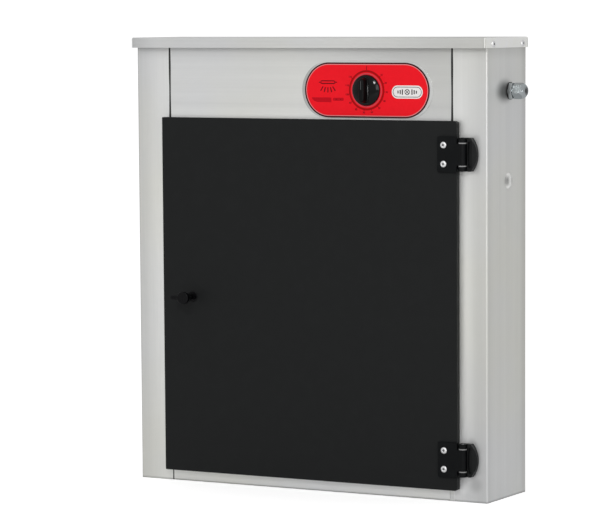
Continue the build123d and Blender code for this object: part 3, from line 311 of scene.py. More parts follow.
by_weld = tuple(((x, strip_y, z), size, core) for x, z, size, core in (
    (0.2623, 0.0243, (0.014, 0.020, 0.015), 0.80),
    (0.2434, 0.0174, (0.010, 0.020, 0.010), 1.10),
    (0.2352, 0.0945, (0.010, 0.020, 0.014), 1.06)))
hinge_painted_shadows = tuple(((x, strip_y, z), (0.009, 0.020, 0.010), 0.86) for x, z in (
    (0.2562, 0.0835), (0.2569, 0.0397), (0.2635, 0.5011), (0.2634, 0.4594)))
right_stains_and_painted_light = (gland_painted_shadow, plug_painted_shade, strip_painted_shade, bend_painted_highlight, door_edge_painted_light) + by_weld + hinge_painted_shadows

for sheet_name, stretch, painted_fades, stains_and_painted_light in (
    ("side_left", grain_up, left_painted_light_and_shade, (left_painted_sheen,)),
    ("side_right", grain_up, right_painted_light_and_shade, right_stains_and_painted_light),
    ("back_panel", grain_up, (), ()),
    ("front_fascia", grain_across, fascia_painted_light_and_shade, ()),
    ("base_panel", grain_across, base_painted_light, ()),
    ("equipment_floor", grain_across, (), ()),
    ("lid", grain_across, lid_painted_light_and_shade, ()),
):
    dress(steel_look("steel_" + sheet_name, stretch, steel_tone, sheet_rough, painted_fades=painted_fades, stains_and_painted_light=stains_and_painted_light),
          sheet_name)


# Seams. The fascia and the base meet the sides' folded strips in upright joints: three hold a thin dark strip
# that looks like a filled joint and is painted shade for the shadow in the open groove, and the lowest on the
# right is welded and ground flush, which leaves blotches.
def bead(name, body, x, face_y, z_low, z_high, half, proud, wander):
    """A filled joint on a front face: a shallow arc in section, whose edges wander a little."""
    rows, across, wall = 48, 6, 0.0006
    shell = bmesh.new()
    grid = []
    for i in range(rows + 1):
        z = z_low + (z_high - z_low) * i / rows
        drift = wander * (math.sin(37.0 * z) + 0.6 * math.sin(211.0 * z + 1.0))
        width = half * (1.0 + 0.12 * math.sin(83.0 * z + 2.0))
        shares = [2 * j / across - 1 for j in range(across + 1)]
        grid.append([shell.verts.new((x + drift + width * share, face_y - proud * (1 - share ** 2), z))
                     for share in shares])
    for low_row, high_row in zip(grid, grid[1:]):
        for j in range(across):
            shell.faces.new((low_row[j], low_row[j + 1], high_row[j + 1], high_row[j]))
    mesh = bpy.data.meshes.new(name)
    shell.to_mesh(mesh)
    for face in mesh.polygons:
        face.use_smooth = True
    piece = add_object(name, mesh)
    thick = piece.modifiers.new("thickness", "SOLIDIFY")
    thick.thickness = wall
    thick.offset = -1.0
    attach(piece, body)
    return piece


# The joints' dark strip is painted shade, standing for the shadow inside each groove.
groove_painted_shade, tree, shader, place = new_look("joint_painted_shade")
skin = noise(tree, place, 420.0, 3.0, 0.6)
tree.links.new(mixed(tree, skin, (0.016, 0.016, 0.016, 1), (0.04, 0.04, 0.039, 1)), shader["Base Color"])
tree.links.new(scaled(tree, skin, 0.5, 0.75), shader["Roughness"])
tree.links.new(bumped(tree, skin, 0.5, 0.0001), shader["Normal"])
shader["Specular IOR Level"].default_value = 0.2

polished = steel_look("ground_weld", grain_all_ways, (0.78, 0.78, 0.765), 0.38, patch_size=60.0)
fascia_low, fascia_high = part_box("front_fascia")
face_y = fascia_low[1]
lid_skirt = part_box("lid")[0][2]
foot_z, strip_z, over_foot, under_skirt = 0.0006, 0.034, 0.001, 0.002
joint_half, joint_proud, joint_wander = 0.0015, 0.00006, 0.00003
weld_half, weld_proud, weld_wander = 0.0034, 0.00016, 0.0002
joint_offset, joint_drift, weld_offset = 0.0005, 0.0006, 0.0004
joint_x, weld_x = fascia_high[0] + joint_offset, fascia_high[0] + weld_offset
joint_low, joint_high = fascia_low[2] + over_foot, lid_skirt + under_skirt
for name, x, z_low, z_high, half in (
    ("joint_left", joint_drift - joint_x, joint_low, joint_high, joint_half),
    ("joint_right", joint_drift + joint_x, joint_low, joint_high, joint_half),
    ("joint_low_left", -joint_x, foot_z, strip_z, 0.6 * joint_half),
):
    joint = bead(name, "case", x, face_y, z_low, z_high, half, joint_proud, joint_wander)
    joint.data.materials.append(groove_painted_shade)
weld = bead("ground_weld", "case", weld_x, face_y, foot_z, strip_z, weld_half, weld_proud, weld_wander)
weld.data.materials.append(polished)


# Blind rivets. Aluminium heads with the steel mandrel's broken end in the bore: two on each of the lid's
# side flanges, two through each hinge's door leaf, two through each rack arm's flange at the back.
def metal_look(name, tone, rough, pit=0.00002):
    """Bright machined or drawn metal with small scuffs."""
    look, tree, shader, place = new_look(name)
    scuff = noise(tree, place, 900.0, 4.0, 0.7)
    tree.links.new(mixed(tree, scuff, shade_of(tone, 0.88), shade_of(tone, 1.06)), shader["Base Color"])
    shader["Metallic"].default_value = 1.0
    tree.links.new(scaled(tree, scuff, rough - 0.06, rough + 0.1, 0.3, 0.7), shader["Roughness"])
    tree.links.new(bumped(tree, scuff, 0.3, pit), shader["Normal"])
    return look


rivet_metal = metal_look("rivet_aluminium", (0.88, 0.88, 0.89), 0.36)
mandrel_steel = metal_look("mandrel_steel", (0.20, 0.20, 0.205), 0.55, pit=0.0002)


def turned(tree, radius, height, bore, profile, around, along):
    """A turned shape on +Z, its profile a list of (share of the way, radius share, height share)."""
    sheet = put(tree, "GeometryNodeMeshGrid", _0=1.0, _1=1.0, _2=around, _3=along)
    flat = put(tree, "SeparateXYZ", Vector=put(tree, "GeometryNodeInputPosition").outputs[0]).outputs
    turn = math_node(tree, "MULTIPLY_ADD", flat["X"], 2 * math.pi, math.pi)
    way = math_node(tree, "ADD", flat["Y"], 0.5)
    shares = []
    for column in (1, 2):
        curve = put(tree, "FloatCurve", Value=way)
        points = curve.mapping.curves[0].points
        for i, knot in enumerate(profile):
            point = points[i] if i < 2 else points.new(0.5, 0.5)
            point.location = (knot[0], knot[column])
            point.handle_type = "AUTO_CLAMPED"
        curve.mapping.update()
        shares.append(curve.outputs[0])
    wide = math_node(tree, "MULTIPLY_ADD", math_node(tree, "SUBTRACT", radius, bore), shares[0], bore)
    spot = put(tree, "CombineXYZ", X=math_node(tree, "MULTIPLY", wide, math_node(tree, "COSINE", turn)),
               Y=math_node(tree, "MULTIPLY", wide, math_node(tree, "SINE", turn)),
               Z=math_node(tree, "MULTIPLY", height, shares[1]))
    bent = put(tree, "GeometryNodeSetPosition", Geometry=sheet.outputs[0], Position=spot.outputs[0])
    closed = put(tree, "GeometryNodeMergeByDistance", Geometry=bent.outputs[0], Distance=0.000008)
    return put(tree, "GeometryNodeSetShadeSmooth", Geometry=closed.outputs[0]).outputs[0]


def new_maker(name, sizes):
    """An empty geometry tree with named float inputs, and its input sockets."""
    maker = bpy.data.node_groups.new(name, "GeometryNodeTree")
    maker.interface.new_socket("Geometry", in_out="INPUT", socket_type="NodeSocketGeometry")
    maker.interface.new_socket("Geometry", in_out="OUTPUT", socket_type="NodeSocketGeometry")
    for size in sizes:
        maker.interface.new_socket(size, in_out="INPUT", socket_type="NodeSocketFloat")
    return maker, maker.nodes.new("NodeGroupInput").outputs


def run_maker(maker, name, body, points, slot, attributes=None, **sizes):
    """Runs a geometry tree on a cloud of points and keeps its plain mesh, riding on a body."""
    cloud = bpy.data.meshes.new(name)
    cloud.from_pydata(points, [], [])
    for label, values in (attributes or {}).items():
        kind, key = ("FLOAT_VECTOR", "vector") if isinstance(values[0], tuple) else ("FLOAT", "value")
        column = cloud.attributes.new(label, kind, "POINT")
        for item, value in zip(column.data, values):
            setattr(item, key, value)
    piece = add_object(name, cloud)
    modifier = piece.modifiers.new("maker", "NODES")
    modifier.node_group = maker
    for socket in maker.interface.items_tree:
        if socket.in_out == "INPUT" and socket.name in sizes:
            modifier[socket.identifier] = sizes[socket.name]
    made = bpy.data.meshes.new_from_object(piece.evaluated_get(bpy.context.evaluated_depsgraph_get()))
    piece.modifiers.clear()
    piece.data = made
    made.name = name
    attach(piece, body)
    return piece


rivets, given = new_maker("blind_rivets", ("Head radius", "Head height", "Bore", "Tail scale"))
head_profile = ((0.0, 1.0, 0.0), (0.12, 1.0, 0.16), (0.3, 0.85, 0.62), (0.5, 0.5, 0.95), (0.66, 0.14, 1.0),
                (0.78, 0.0, 0.88), (1.0, 0.0, 0.2))
core_profile = ((0.0, 1.0, 0.1), (0.5, 0.98, 0.62), (0.72, 0.8, 0.78), (0.86, 0.4, 0.66), (1.0, 0.0, 0.72))
head_around, head_along, core_around, core_along, core_share = 33, 18, 17, 9, 0.985
head = turned(rivets, given["Head radius"], given["Head height"], given["Bore"], head_profile, head_around,
              head_along)
core_radius = math_node(rivets, "MULTIPLY", given["Bore"], core_share)
core = turned(rivets, core_radius, given["Head height"], 0.0, core_profile, core_around, core_along)
core = put(rivets, "GeometryNodeStoreNamedAttribute", {"data_type": "BOOLEAN", "domain": "FACE"},
           Geometry=core, Name="core", Value=True).outputs[0]
both = put(rivets, "GeometryNodeJoinGeometry").inputs[0]
rivets.links.new(head, both)
rivets.links.new(core, both)


def kept_value(name, kind):
    """A value that the points or faces carry by name."""
    return put(rivets, "GeometryNodeInputNamedAttribute", {"data_type": kind}, Name=name).outputs[0]


facing = kept_value("facing", "FLOAT_VECTOR")
grip = kept_value("grip", "FLOAT")
backward = put(rivets, "VectorMath", {"operation": "SCALE"}, _0=facing, Scale=-1.0).outputs[0]
depth = put(rivets, "VectorMath", {"operation": "SCALE"}, _0=backward, Scale=grip).outputs[0]
far = put(rivets, "GeometryNodeSetPosition", Geometry=given["Geometry"], Offset=depth).outputs[0]
ends = put(rivets, "GeometryNodeJoinGeometry").inputs[0]
for points, direction, size in ((given["Geometry"], facing, None), (far, backward, given["Tail scale"])):
    upright = put(rivets, "FunctionNodeAlignRotationToVector", {"axis": "Z"}, Vector=direction).outputs[0]
    placed = put(rivets, "GeometryNodeInstanceOnPoints", Points=points, Instance=both.node.outputs[0],
                 Rotation=upright)
    if size:
        rivets.links.new(size, placed.inputs["Scale"])
    rivets.links.new(placed.outputs[0], ends)
real = put(rivets, "GeometryNodeRealizeInstances", Geometry=ends.node.outputs[0]).outputs[0]
bright = put(rivets, "GeometryNodeSetMaterial", Geometry=real, Material=rivet_metal).outputs[0]
done = put(rivets, "GeometryNodeSetMaterial", Geometry=bright, Selection=kept_value("core", "BOOLEAN"),
           Material=mandrel_steel)
rivets.links.new(done.outputs[0], rivets.nodes.new("NodeGroupOutput").inputs[0])

rivet_sizes = {"Head radius": 0.0047, "Head height": 0.00176, "Bore": 0.0017, "Tail scale": 0.77}
rivet_radius = rivet_sizes["Head radius"]
sheet_grip, pane_grip, arm_foot = 0.0032, 0.010, 0.002
lid_low, lid_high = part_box("lid")
lid_rivet_low, lid_rivet_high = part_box("lid_rivets")
lid_rivet_z = (lid_rivet_low[2] + lid_rivet_high[2]) / 2
lid_spots = [(x, y, lid_rivet_z) for x in (lid_low[0], lid_high[0])
             for y in (lid_rivet_low[1] + rivet_radius, lid_rivet_high[1] - rivet_radius)]
arm_low, arm_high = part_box("rack_arm_rivets")
arm_foot_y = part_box("back_panel")[0][1] - arm_foot
arm_spots = [(x, arm_foot_y, z) for x in (arm_low[0] + rivet_radius, arm_high[0] - rivet_radius)
             for z in (arm_low[2] + rivet_radius, arm_high[2] - rivet_radius)]
outward, forward = [(math.copysign(1.0, x), 0.0, 0.0) for x, y, z in lid_spots], (0.0, -1.0, 0.0)
case_spots = lid_spots + arm_spots
case_rivets = run_maker(
    rivets, "rivets_on_case", "case", case_spots, "rivet_aluminium",
    {"facing": outward + [forward] * len(arm_spots), "grip": [sheet_grip] * len(case_spots)}, **rivet_sizes)
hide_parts("lid_rivets", "rack_arm_rivets")
rivet_low, rivet_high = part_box("hinge_door_rivets")
leaf_rivet_spread, barrel_ahead = 0.013, 0.0005
door_spots = []
for name in ("upper", "lower"):
    low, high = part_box(f"hinge_door_leaf_{name}")
    door_spots += [((rivet_low[0] + rivet_high[0]) / 2, low[1] + barrel_ahead,
                    (low[2] + high[2]) / 2 + side * leaf_rivet_spread) for side in (-1, 1)]
door_rivets = run_maker(
    rivets, "rivets_on_door", "door", door_spots, "rivet_aluminium",
    {"facing": [forward] * len(door_spots), "grip": [pane_grip] * len(door_spots)}, **rivet_sizes)
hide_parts("hinge_door_rivets")


# Screws, pins, spindles and the latch's nut and cam. Small turned, rolled or pressed steel pieces with
# bright zinc plating, some inside the case and some behind the hinge covers.
zinc = metal_look("bright_zinc", (0.62, 0.64, 0.66), 0.28)
dress(zinc, "timer_screws", "timer_spindle", "hinge_pin_upper", "hinge_pin_lower", "hinge_frame_screws",
      "latch_nut", "latch_spindle", "latch_cam", "latch_screw", "switch_screws", "lamp_holder_screws",
      "ballast_screws")


# Control plate and printed label. A satin aluminium plate, darker at its left end as painted shade, carries a
# red printed film with a black rim, a fine white line inside it, and a pale and a dark ring round the knob.
plate_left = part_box("control_plate")[0][0]
# Painted shade darkening the plate's left end.
plate_painted_shade = ("X", plate_left + 0.006, plate_left + 0.036, 0.72, 1.0)
plate_look = steel_look("plate_aluminium", grain_across, (0.72, 0.72, 0.715), 0.42, painted_fades=(plate_painted_shade,))
dress(plate_look, "control_plate")
label_low, label_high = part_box("control_label")
knob_x, knob_z = (label_low[0] + label_high[0]) / 2, (label_low[2] + label_high[2]) / 2
label_half_length = (label_high[0] - label_low[0]) / 2
label_half_height = (label_high[2] - label_low[2]) / 2
label_face = label_low[1]


def distance(tree, first, second):
    """How far a place is from a centre, from its two parts."""
    squares = [math_node(tree, "POWER", part, 2.0) for part in (first, second)]
    return math_node(tree, "SQRT", math_node(tree, "ADD", *squares))


def band(tree, value, low, high, soft=0.00015):
    """1 between low and high, with soft ends."""
    rise, fall = [scaled(tree, value, 0.0, 1.0, edge - soft, edge + soft) for edge in (low, high)]
    return math_node(tree, "SUBTRACT", rise, fall)


print_look, tree, shader, place = new_look("label_print")
centred = put(tree, "VectorMath", {"operation": "SUBTRACT"}, _0=place, _1=(knob_x, 0.0, knob_z)).outputs[0]
parts = put(tree, "SeparateXYZ", Vector=centred).outputs
sideways = math_node(tree, "ABSOLUTE", parts["X"])
past_straight = math_node(tree, "SUBTRACT", sideways, label_half_length - label_half_height)
from_middle = distance(tree, math_node(tree, "MAXIMUM", past_straight, 0.0), parts["Z"])
from_rim = math_node(tree, "SUBTRACT", label_half_height, from_middle)
from_knob = distance(tree, parts["X"], parts["Z"])
ink = noise(tree, place, 160.0, 3.0, 0.6)
colour = mixed(tree, ink, (0.78, 0.005, 0.013, 1), (0.85, 0.008, 0.018, 1))
pale_ring = band(tree, from_knob, 0.0222, 0.0236), (0.62, 0.07, 0.09, 1)
dark_ring = band(tree, from_knob, 0.0251, 0.0278, soft=0.0004), (0.34, 0.0, 0.001, 1)
white_line = band(tree, from_rim, 0.0021, 0.0031), (0.67, 0.25, 0.26, 1)
black_rim = band(tree, from_rim, -0.002, 0.0020), (0.035, 0.005, 0.007, 1)
for mask, shade in (pale_ring, dark_ring, white_line, black_rim):
    colour = mixed(tree, mask, colour, shade)
tree.links.new(colour, shader["Base Color"])
fingered = use_group(tree, smudge, Place=place, Size=30.0, Amount=1.0)["Mask"]
tree.links.new(scaled(tree, fingered, 0.28, 0.42), shader["Roughness"])
shader["Specular IOR Level"].default_value = 0.12
tree.links.new(bumped(tree, ink, 0.15, 0.00002), shader["Normal"])
dress(print_look, "control_label")


# Printing on the label. A dial of twelve marks and numbers round the knob with a start line at its top,
# a plain picture of a lamp over a blade to the left, and a white badge with a lamp sign to the right.
def ink_look(name, tone):
    """Printing ink, a little uneven."""
    look, tree, shader, place = new_look(name)
    grainy = noise(tree, place, 900.0, 2.0, 0.6)
    tree.links.new(mixed(tree, grainy, shade_of(tone, 0.88), shade_of(tone, 1.1)), shader["Base Color"])
    tree.links.new(scaled(tree, grainy, 0.35, 0.48), shader["Roughness"])
    shader["Specular IOR Level"].default_value = 0.12
    return look


dial_ink = ink_look("dial_ink", (0.13, 0.0, 0.003))
icon_ink = ink_look("icon_ink", (0.085, 0.0, 0.003))
faint_ink = ink_look("faint_ink", (0.50, 0.0, 0.008))
badge_white = ink_look("badge_white", (0.80, 0.78, 0.77))
badge_dark = ink_look("badge_dark", (0.03, 0.02, 0.02))
film = 0.00004
dial_first, dial_step, dial_count = math.radians(47.7), math.radians(23.44), 12

marks, given = new_maker("dial_marks", ("Count", "First", "Step", "Radius", "Length", "Width"))
whole = put(marks, "FunctionNodeFloatToInt", _0=given["Count"]).outputs[0]
row = put(marks, "GeometryNodeMeshLine", Count=whole).outputs[0]
index = put(marks, "GeometryNodeInputIndex").outputs[0]
angle = math_node(marks, "MULTIPLY_ADD", index, given["Step"], given["First"])
spot_x = math_node(marks, "MULTIPLY", given["Radius"], math_node(marks, "SINE", angle))
spot_z = math_node(marks, "MULTIPLY", given["Radius"], math_node(marks, "COSINE", angle))
spot = put(marks, "CombineXYZ", X=spot_x, Z=spot_z).outputs[0]
ring = put(marks, "GeometryNodeSetPosition", Geometry=row, Position=spot).outputs[0]
bar_size = put(marks, "CombineXYZ", X=given["Width"], Y=film, Z=given["Length"]).outputs[0]
bar = put(marks, "GeometryNodeMeshCube", Size=bar_size).outputs[0]
leaning = put(marks, "CombineXYZ", Y=angle).outputs[0]
turned_by = put(marks, "FunctionNodeEulerToRotation", _0=leaning).outputs[0]
placed = put(marks, "GeometryNodeInstanceOnPoints", Points=ring, Instance=bar, Rotation=turned_by).outputs[0]
position = put(marks, "GeometryNodeInputPosition").outputs[0]
centre = put(marks, "GeometryNodeSampleIndex", {"data_type": "FLOAT_VECTOR"}, Geometry=given["Geometry"],
             Value=position).outputs[0]
real = put(marks, "GeometryNodeRealizeInstances", Geometry=placed).outputs[0]
moved = put(marks, "GeometryNodeSetPosition", Geometry=real, Offset=centre).outputs[0]
inked = put(marks, "GeometryNodeSetMaterial", Geometry=moved, Material=dial_ink).outputs[0]
marks.links.new(inked, marks.nodes.new("NodeGroupOutput").inputs[0])
dial_centre = (knob_x, label_face - film / 2, knob_z)
run_maker(marks, "dial_marks", "case", [dial_centre], "label_print", Count=float(dial_count),
          First=dial_first, Step=dial_step, Radius=0.0284, Length=0.0018, Width=0.0007)
run_maker(marks, "dial_start_line", "case", [dial_centre], "label_print", Count=1.0, First=0.0, Step=0.0,
          Radius=0.0308, Length=0.0054, Width=0.0009)


def arc(x, z, radius, start, end, count):
    """Points on an arc, in degrees from +X towards +Z."""
    turns = [math.radians(start + (end - start) * i / count) for i in range(count + 1)]
    return [(x + radius * math.cos(turn), z + radius * math.sin(turn)) for turn in turns]


def pill(length, height, corner, x=0.0, z=0.0, inset=0.0):
    """The outline of a bar with rounded corners."""
    half, rise, radius = length / 2 - corner, height / 2 - corner, corner - inset
    outline = []
    for side, up, start in ((1, 1, 0), (-1, 1, 90), (-1, -1, 180), (1, -1, 270)):
        outline += arc(x + side * half, z + up * rise, radius, start, start + 90, 8)
    return outline


def tilted(points, turn, x, z):
    """Turns an outline clockwise by an angle, then moves it."""
    c, s = math.cos(turn), math.sin(turn)
    return [(x + c * px + s * pz, z - s * px + c * pz) for px, pz in points]


def printed(name, ink, outlines, rings=(), layer=1):
    """One thin piece of ink on the label, of filled outlines and of rings between two outlines."""
    ink_mesh = bmesh.new()
    front, back = label_face - layer * film, label_face - (layer - 1) * film
    for shape in outlines:
        rows = [[ink_mesh.verts.new((x, y, z)) for x, z in shape] for y in (front, back)]
        ink_mesh.faces.new(rows[0])
        ink_mesh.faces.new(rows[1][::-1])
        for i in range(len(shape)):
            ink_mesh.faces.new((rows[0][i - 1], rows[1][i - 1], rows[1][i], rows[0][i]))
    for outer, inner in rings:
        loops = [[ink_mesh.verts.new((x, y, z)) for x, z in shape]
                 for shape, y in ((outer, front), (inner, front), (inner, back), (outer, back))]
        for loop, following in zip(loops, loops[1:] + loops[:1]):
            for i in range(len(outer)):
                ink_mesh.faces.new((loop[i - 1], following[i - 1], following[i], loop[i]))
    bmesh.ops.triangulate(ink_mesh, faces=[face for face in ink_mesh.faces if len(face.verts) > 4])
    bmesh.ops.recalc_face_normals(ink_mesh, faces=ink_mesh.faces)
    mesh = bpy.data.meshes.new(name)
    ink_mesh.to_mesh(mesh)
    mesh.materials.append(ink)
    piece = add_object(name, mesh)
    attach(piece, "case")


number_radius, number_size, number_swell = 0.0315, 0.0036, 0.00006
stand_up = Matrix(((1, 0, 0), (0, 0, -1), (0, 1, 0))).to_4x4()
digits = bmesh.new()
for i in range(dial_count):
    text = bpy.data.curves.new("number", "FONT")
    text.body = str(10 * (i + 1))
    text.size = number_size
    text.extrude = film / 2
    text.offset = number_swell
    text.align_x = text.align_y = "CENTER"
    turn = dial_first + i * dial_step
    written = add_object("number", text)
    digit = bpy.data.meshes.new_from_object(written.evaluated_get(bpy.context.evaluated_depsgraph_get()))
    bpy.data.objects.remove(written)
    digit.transform(Matrix.Translation((knob_x + number_radius * math.sin(turn), label_face - film / 2,
                                        knob_z + number_radius * math.cos(turn))) @ stand_up)
    digits.from_mesh(digit)
number_mesh = bpy.data.meshes.new("dial_numbers")
digits.to_mesh(number_mesh)
number_mesh.materials.clear()
number_mesh.materials.append(dial_ink)
dial_numbers = add_object("dial_numbers", number_mesh)
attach(dial_numbers, "case")

icon_x, lamp_z, blade_z = knob_x - 0.0611, knob_z + 0.0108, knob_z - 0.0135
ray_length, ray_width, ray_corner, ray_drop = 0.0074, 0.0015, 0.0007, 0.0108
ray_fan, ray_gap = math.radians(17), 0.0018
ray = pill(ray_width, ray_length, ray_corner, z=-ray_drop)
rays = [tilted(ray, -i * ray_fan, icon_x + i * ray_gap, lamp_z) for i in range(-2, 3)]
tube_length, tube_rise, tube_corner, tube_line = 0.0235, 0.0050, 0.0024, 0.0013
cap_length, cap_rise, cap_corner, cap_gap = 0.0026, 0.0012, 0.0004, 0.0014
caps = [pill(cap_length, cap_rise, cap_corner, icon_x + side * (tube_length / 2 + cap_gap), lamp_z)
        for side in (-1, 1)]
tube = [pill(tube_length, tube_rise, tube_corner, icon_x, lamp_z, inset=inset) for inset in (0.0, tube_line)]
printed("lamp_picture", icon_ink, rays + caps, [tube])
blade = [(-0.0255, 0.0030), (-0.0252, 0.0012), (-0.0225, -0.0016), (-0.0170, -0.0034), (0.0055, -0.0036),
         (0.0055, 0.0026), (0.0035, 0.0030)]
handle_x, handle_z, handle_length, handle_rise, handle_corner = 0.0165, 0.0006, 0.0170, 0.0044, 0.0018
handle = pill(handle_length, handle_rise, handle_corner, handle_x, handle_z)
knife = [[(icon_x + x, blade_z + z) for x, z in shape] for shape in (blade, handle)]
printed("blade_picture", faint_ink, knife)
pin_radius, pin_places = 0.0008, (0.0130, 0.0200)
pins = [arc(icon_x + x, blade_z + handle_z, pin_radius, 0, 345, 11) for x in pin_places]
printed("blade_pins", dial_ink, pins, layer=2)

badge_x, badge_z = knob_x + 0.0633, knob_z - 0.0020
badge_length, badge_rise, badge_corner, line_insets = 0.048, 0.018, 0.0088, (0.0018, 0.0026)
printed("badge", badge_white, [pill(badge_length, badge_rise, badge_corner, badge_x, badge_z)])
edge_line = [pill(badge_length, badge_rise, badge_corner, badge_x, badge_z, inset=inset)
             for inset in line_insets]
sign_radius, sign_line, stroke_gap, stroke_corner = 0.0040, 0.0009, 0.0012, 0.0003
sign = [arc(badge_x, badge_z, radius, 0, 352.5, 47) for radius in (sign_radius, sign_radius - sign_line)]
stroke = pill(2 * sign_radius - stroke_gap, sign_line, stroke_corner)
strokes = [tilted(stroke, math.radians(turn), badge_x, badge_z) for turn in (45, -45)]
bar_width, bar_corner, bar_rises = 0.0017, 0.0006, ((0.0074, 0.0076), (0.0108, 0.0058), (0.0142, 0.0040))
bars = [pill(bar_width, rise, bar_corner, badge_x + side * gap, badge_z) for side in (-1, 1)
        for gap, rise in bar_rises]
printed("badge_print", badge_dark, bars, [edge_line, sign], layer=2)
printed("badge_cross", badge_dark, strokes[:1], layer=2)
printed("badge_cross_back", badge_dark, strokes[1:], layer=2)


# Timer knob. A black moulding: a domed glossy skirt, and a grip bar that swells at its middle, with matt
# flanks and a polished step at its foot. A dark grey pointer line is inlaid in the bar's ridge.
def moulded_look(name, tone, rough, grain_size, depth, specular=0.5, wear=(0.85, 1.25)):
    """Moulded plastic with a fine mould texture and faint wear."""
    look, tree, shader, place = new_look(name)
    texture = noise(tree, place, grain_size, 3.0, 0.6)
    worn = use_group(tree, smudge, Place=place, Size=55.0, Amount=1.0)["Mask"]
    tree.links.new(mixed(tree, worn, *[shade_of(tone, share) for share in wear]), shader["Base Color"])
    roughness = math_node(tree, "ADD", scaled(tree, texture, rough - 0.04, rough + 0.04, 0.3, 0.7),
                          scaled(tree, worn, 0.0, 0.08))
    tree.links.new(roughness, shader["Roughness"])
    shader["Specular IOR Level"].default_value = specular
    tree.links.new(bumped(tree, texture, 0.4, depth), shader["Normal"])
    return look


def shell_of(rings):
    """A closed smooth shell through rings of points, its first and last ring filled."""
    shell = bmesh.new()
    loops = [[shell.verts.new(point) for point in ring] for ring in rings]
    for loop, following in zip(loops, loops[1:]):
        for i in range(len(loop)):
            shell.faces.new((loop[i - 1], loop[i], following[i], following[i - 1]))
    shell.faces.new(loops[0])
    shell.faces.new(loops[-1][::-1])
    bmesh.ops.recalc_face_normals(shell, faces=shell.faces)
    for face in shell.faces:
        face.smooth = len(face.verts) == 4
    return shell


knob_low, knob_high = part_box("timer_knob")
knob_radius, knob_back, knob_front = (knob_high[0] - knob_low[0]) / 2, knob_high[1], knob_low[1]
knob_rise = knob_back - knob_front
skirt_profile = ((0.5, 0.0), (0.97, 0.0), (1.0, 0.02), (1.0, 0.075), (0.992, 0.108), (0.975, 0.134),
                 (0.96, 0.147), (0.88, 0.193), (0.80, 0.239), (0.73, 0.272), (0.60, 0.311), (0.45, 0.341),
                 (0.30, 0.356), (0.12, 0.363), (0.03, 0.3635))
skirt_steps = 96
skirt_turns = [2 * math.pi * i / skirt_steps for i in range(skirt_steps)]
skirt = shell_of([[(knob_x + knob_radius * share * math.cos(turn), knob_back - knob_rise * height,
                    knob_z + knob_radius * share * math.sin(turn)) for turn in skirt_turns]
                  for share, height in skirt_profile])

grip_half_length, grip_half_width, grip_taper, end_radius = 0.0168, 0.0050, 0.0005, 0.0042
foot_step, end_spread = 3, 0.0008
grip_levels = ((0.16, 0.0022), (0.28, 0.0017), (0.34, 0.0011), (0.392, 0.0002), (0.46, 0.0001), (0.54, 0.0),
               (0.84, -0.0005), (0.905, -0.0007), (0.950, -0.0011), (0.978, -0.0017), (0.993, -0.0026),
               (1.0, -0.0038))
flank = grip_half_length - end_radius
flank_steps, end_steps = 12, 18
outline = []
for side in (1, -1):
    for i in range(flank_steps):
        z = side * flank * (2 * i / flank_steps - 1)
        outline.append((side * (grip_half_width - grip_taper * (z / flank) ** 2), z))
    end_half = grip_half_width - grip_taper
    for i in range(end_steps):
        turn = math.pi * i / end_steps
        outline.append((side * end_half * math.cos(turn), side * (flank + end_radius * math.sin(turn))))
grip_rings = []
for height, spread in grip_levels:
    y = knob_back - knob_rise * height
    grow_x, grow_z = 1 + spread / grip_half_width, 1 + min(spread, end_spread) / grip_half_length
    grip_rings.append([(knob_x + x * grow_x, y, knob_z + z * grow_z) for x, z in outline])
grip_bar = shell_of(grip_rings)
flank_slot, foot_slot = 1, 2
grip_bar.faces.ensure_lookup_table()
for i, face in enumerate(grip_bar.faces):
    polished_step = i // len(outline) == foot_step - 1
    face.material_index = foot_slot if polished_step else flank_slot
    if polished_step:
        face.smooth = False
knob_mesh = bmesh.new()
for shell in (skirt, grip_bar):
    part_mesh = bpy.data.meshes.new("knob_part")
    shell.to_mesh(part_mesh)
    knob_mesh.from_mesh(part_mesh)
knob_data = bpy.data.meshes.new("knob_moulding")
knob_mesh.to_mesh(knob_data)
knob_tone = (0.002, 0.0023, 0.0025)
knob_data.materials.append(moulded_look("knob_black", knob_tone, 0.06, 700.0, 0.000004, specular=0.20))
knob_data.materials.append(moulded_look("knob_grip_black", knob_tone, 0.42, 1400.0, 0.00001, specular=0.12))
knob_data.materials.append(moulded_look("knob_foot_black", knob_tone, 0.12, 700.0, 0.000002, specular=0.22))
knob = add_object("knob_moulding", knob_data)
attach(knob, "timer")
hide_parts("timer_knob")

pointer_low, pointer_high, pointer_half, pointer_corner = 0.001, 0.0130, 0.0005, 0.0004
pointer_sunk, pointer_proud = 0.0006, 0.00015
pointer_outline = pill(2 * pointer_half, pointer_high - pointer_low, pointer_corner, 0.0,
                       (pointer_low + pointer_high) / 2)
pointer = shell_of([[(knob_x + x, y, knob_z + z) for x, z in pointer_outline]
                    for y in (knob_front + pointer_sunk, knob_front - pointer_proud)])
pointer_mesh = bpy.data.meshes.new("knob_pointer")
pointer.to_mesh(pointer_mesh)
pointer_mesh.materials.append(ink_look("pointer_grey", (0.07, 0.072, 0.073)))
pointer_line = add_object("knob_pointer", pointer_mesh)
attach(pointer_line, "timer")


# Timer and switch bodies. Dark moulded boxes, each fixed behind the control fascia by two screws, above
# the equipment floor, where the sheets hide them.
dress(moulded_look("timer_case", (0.05, 0.05, 0.05), 0.45, 1500.0, 0.00003), "timer_body", "switch_body")


# Door. A pane of smoked acrylic, which looks almost black and satin against the dark inside, and a black
# rubber seal behind its rim. The gland's washer is of the same rubber.
smoked_pane = moulded_look("smoked_pane", (0.0112, 0.0120, 0.0122), 0.48, 120.0, 0.00002, specular=0.12,
                           wear=(0.95, 1.06))
seal_rubber = moulded_look("seal_rubber", (0.012, 0.012, 0.012), 0.62, 2600.0, 0.00004, specular=0.3)
dress(smoked_pane, "door_pane")
dress(seal_rubber, "door_seal", "gland_washer")


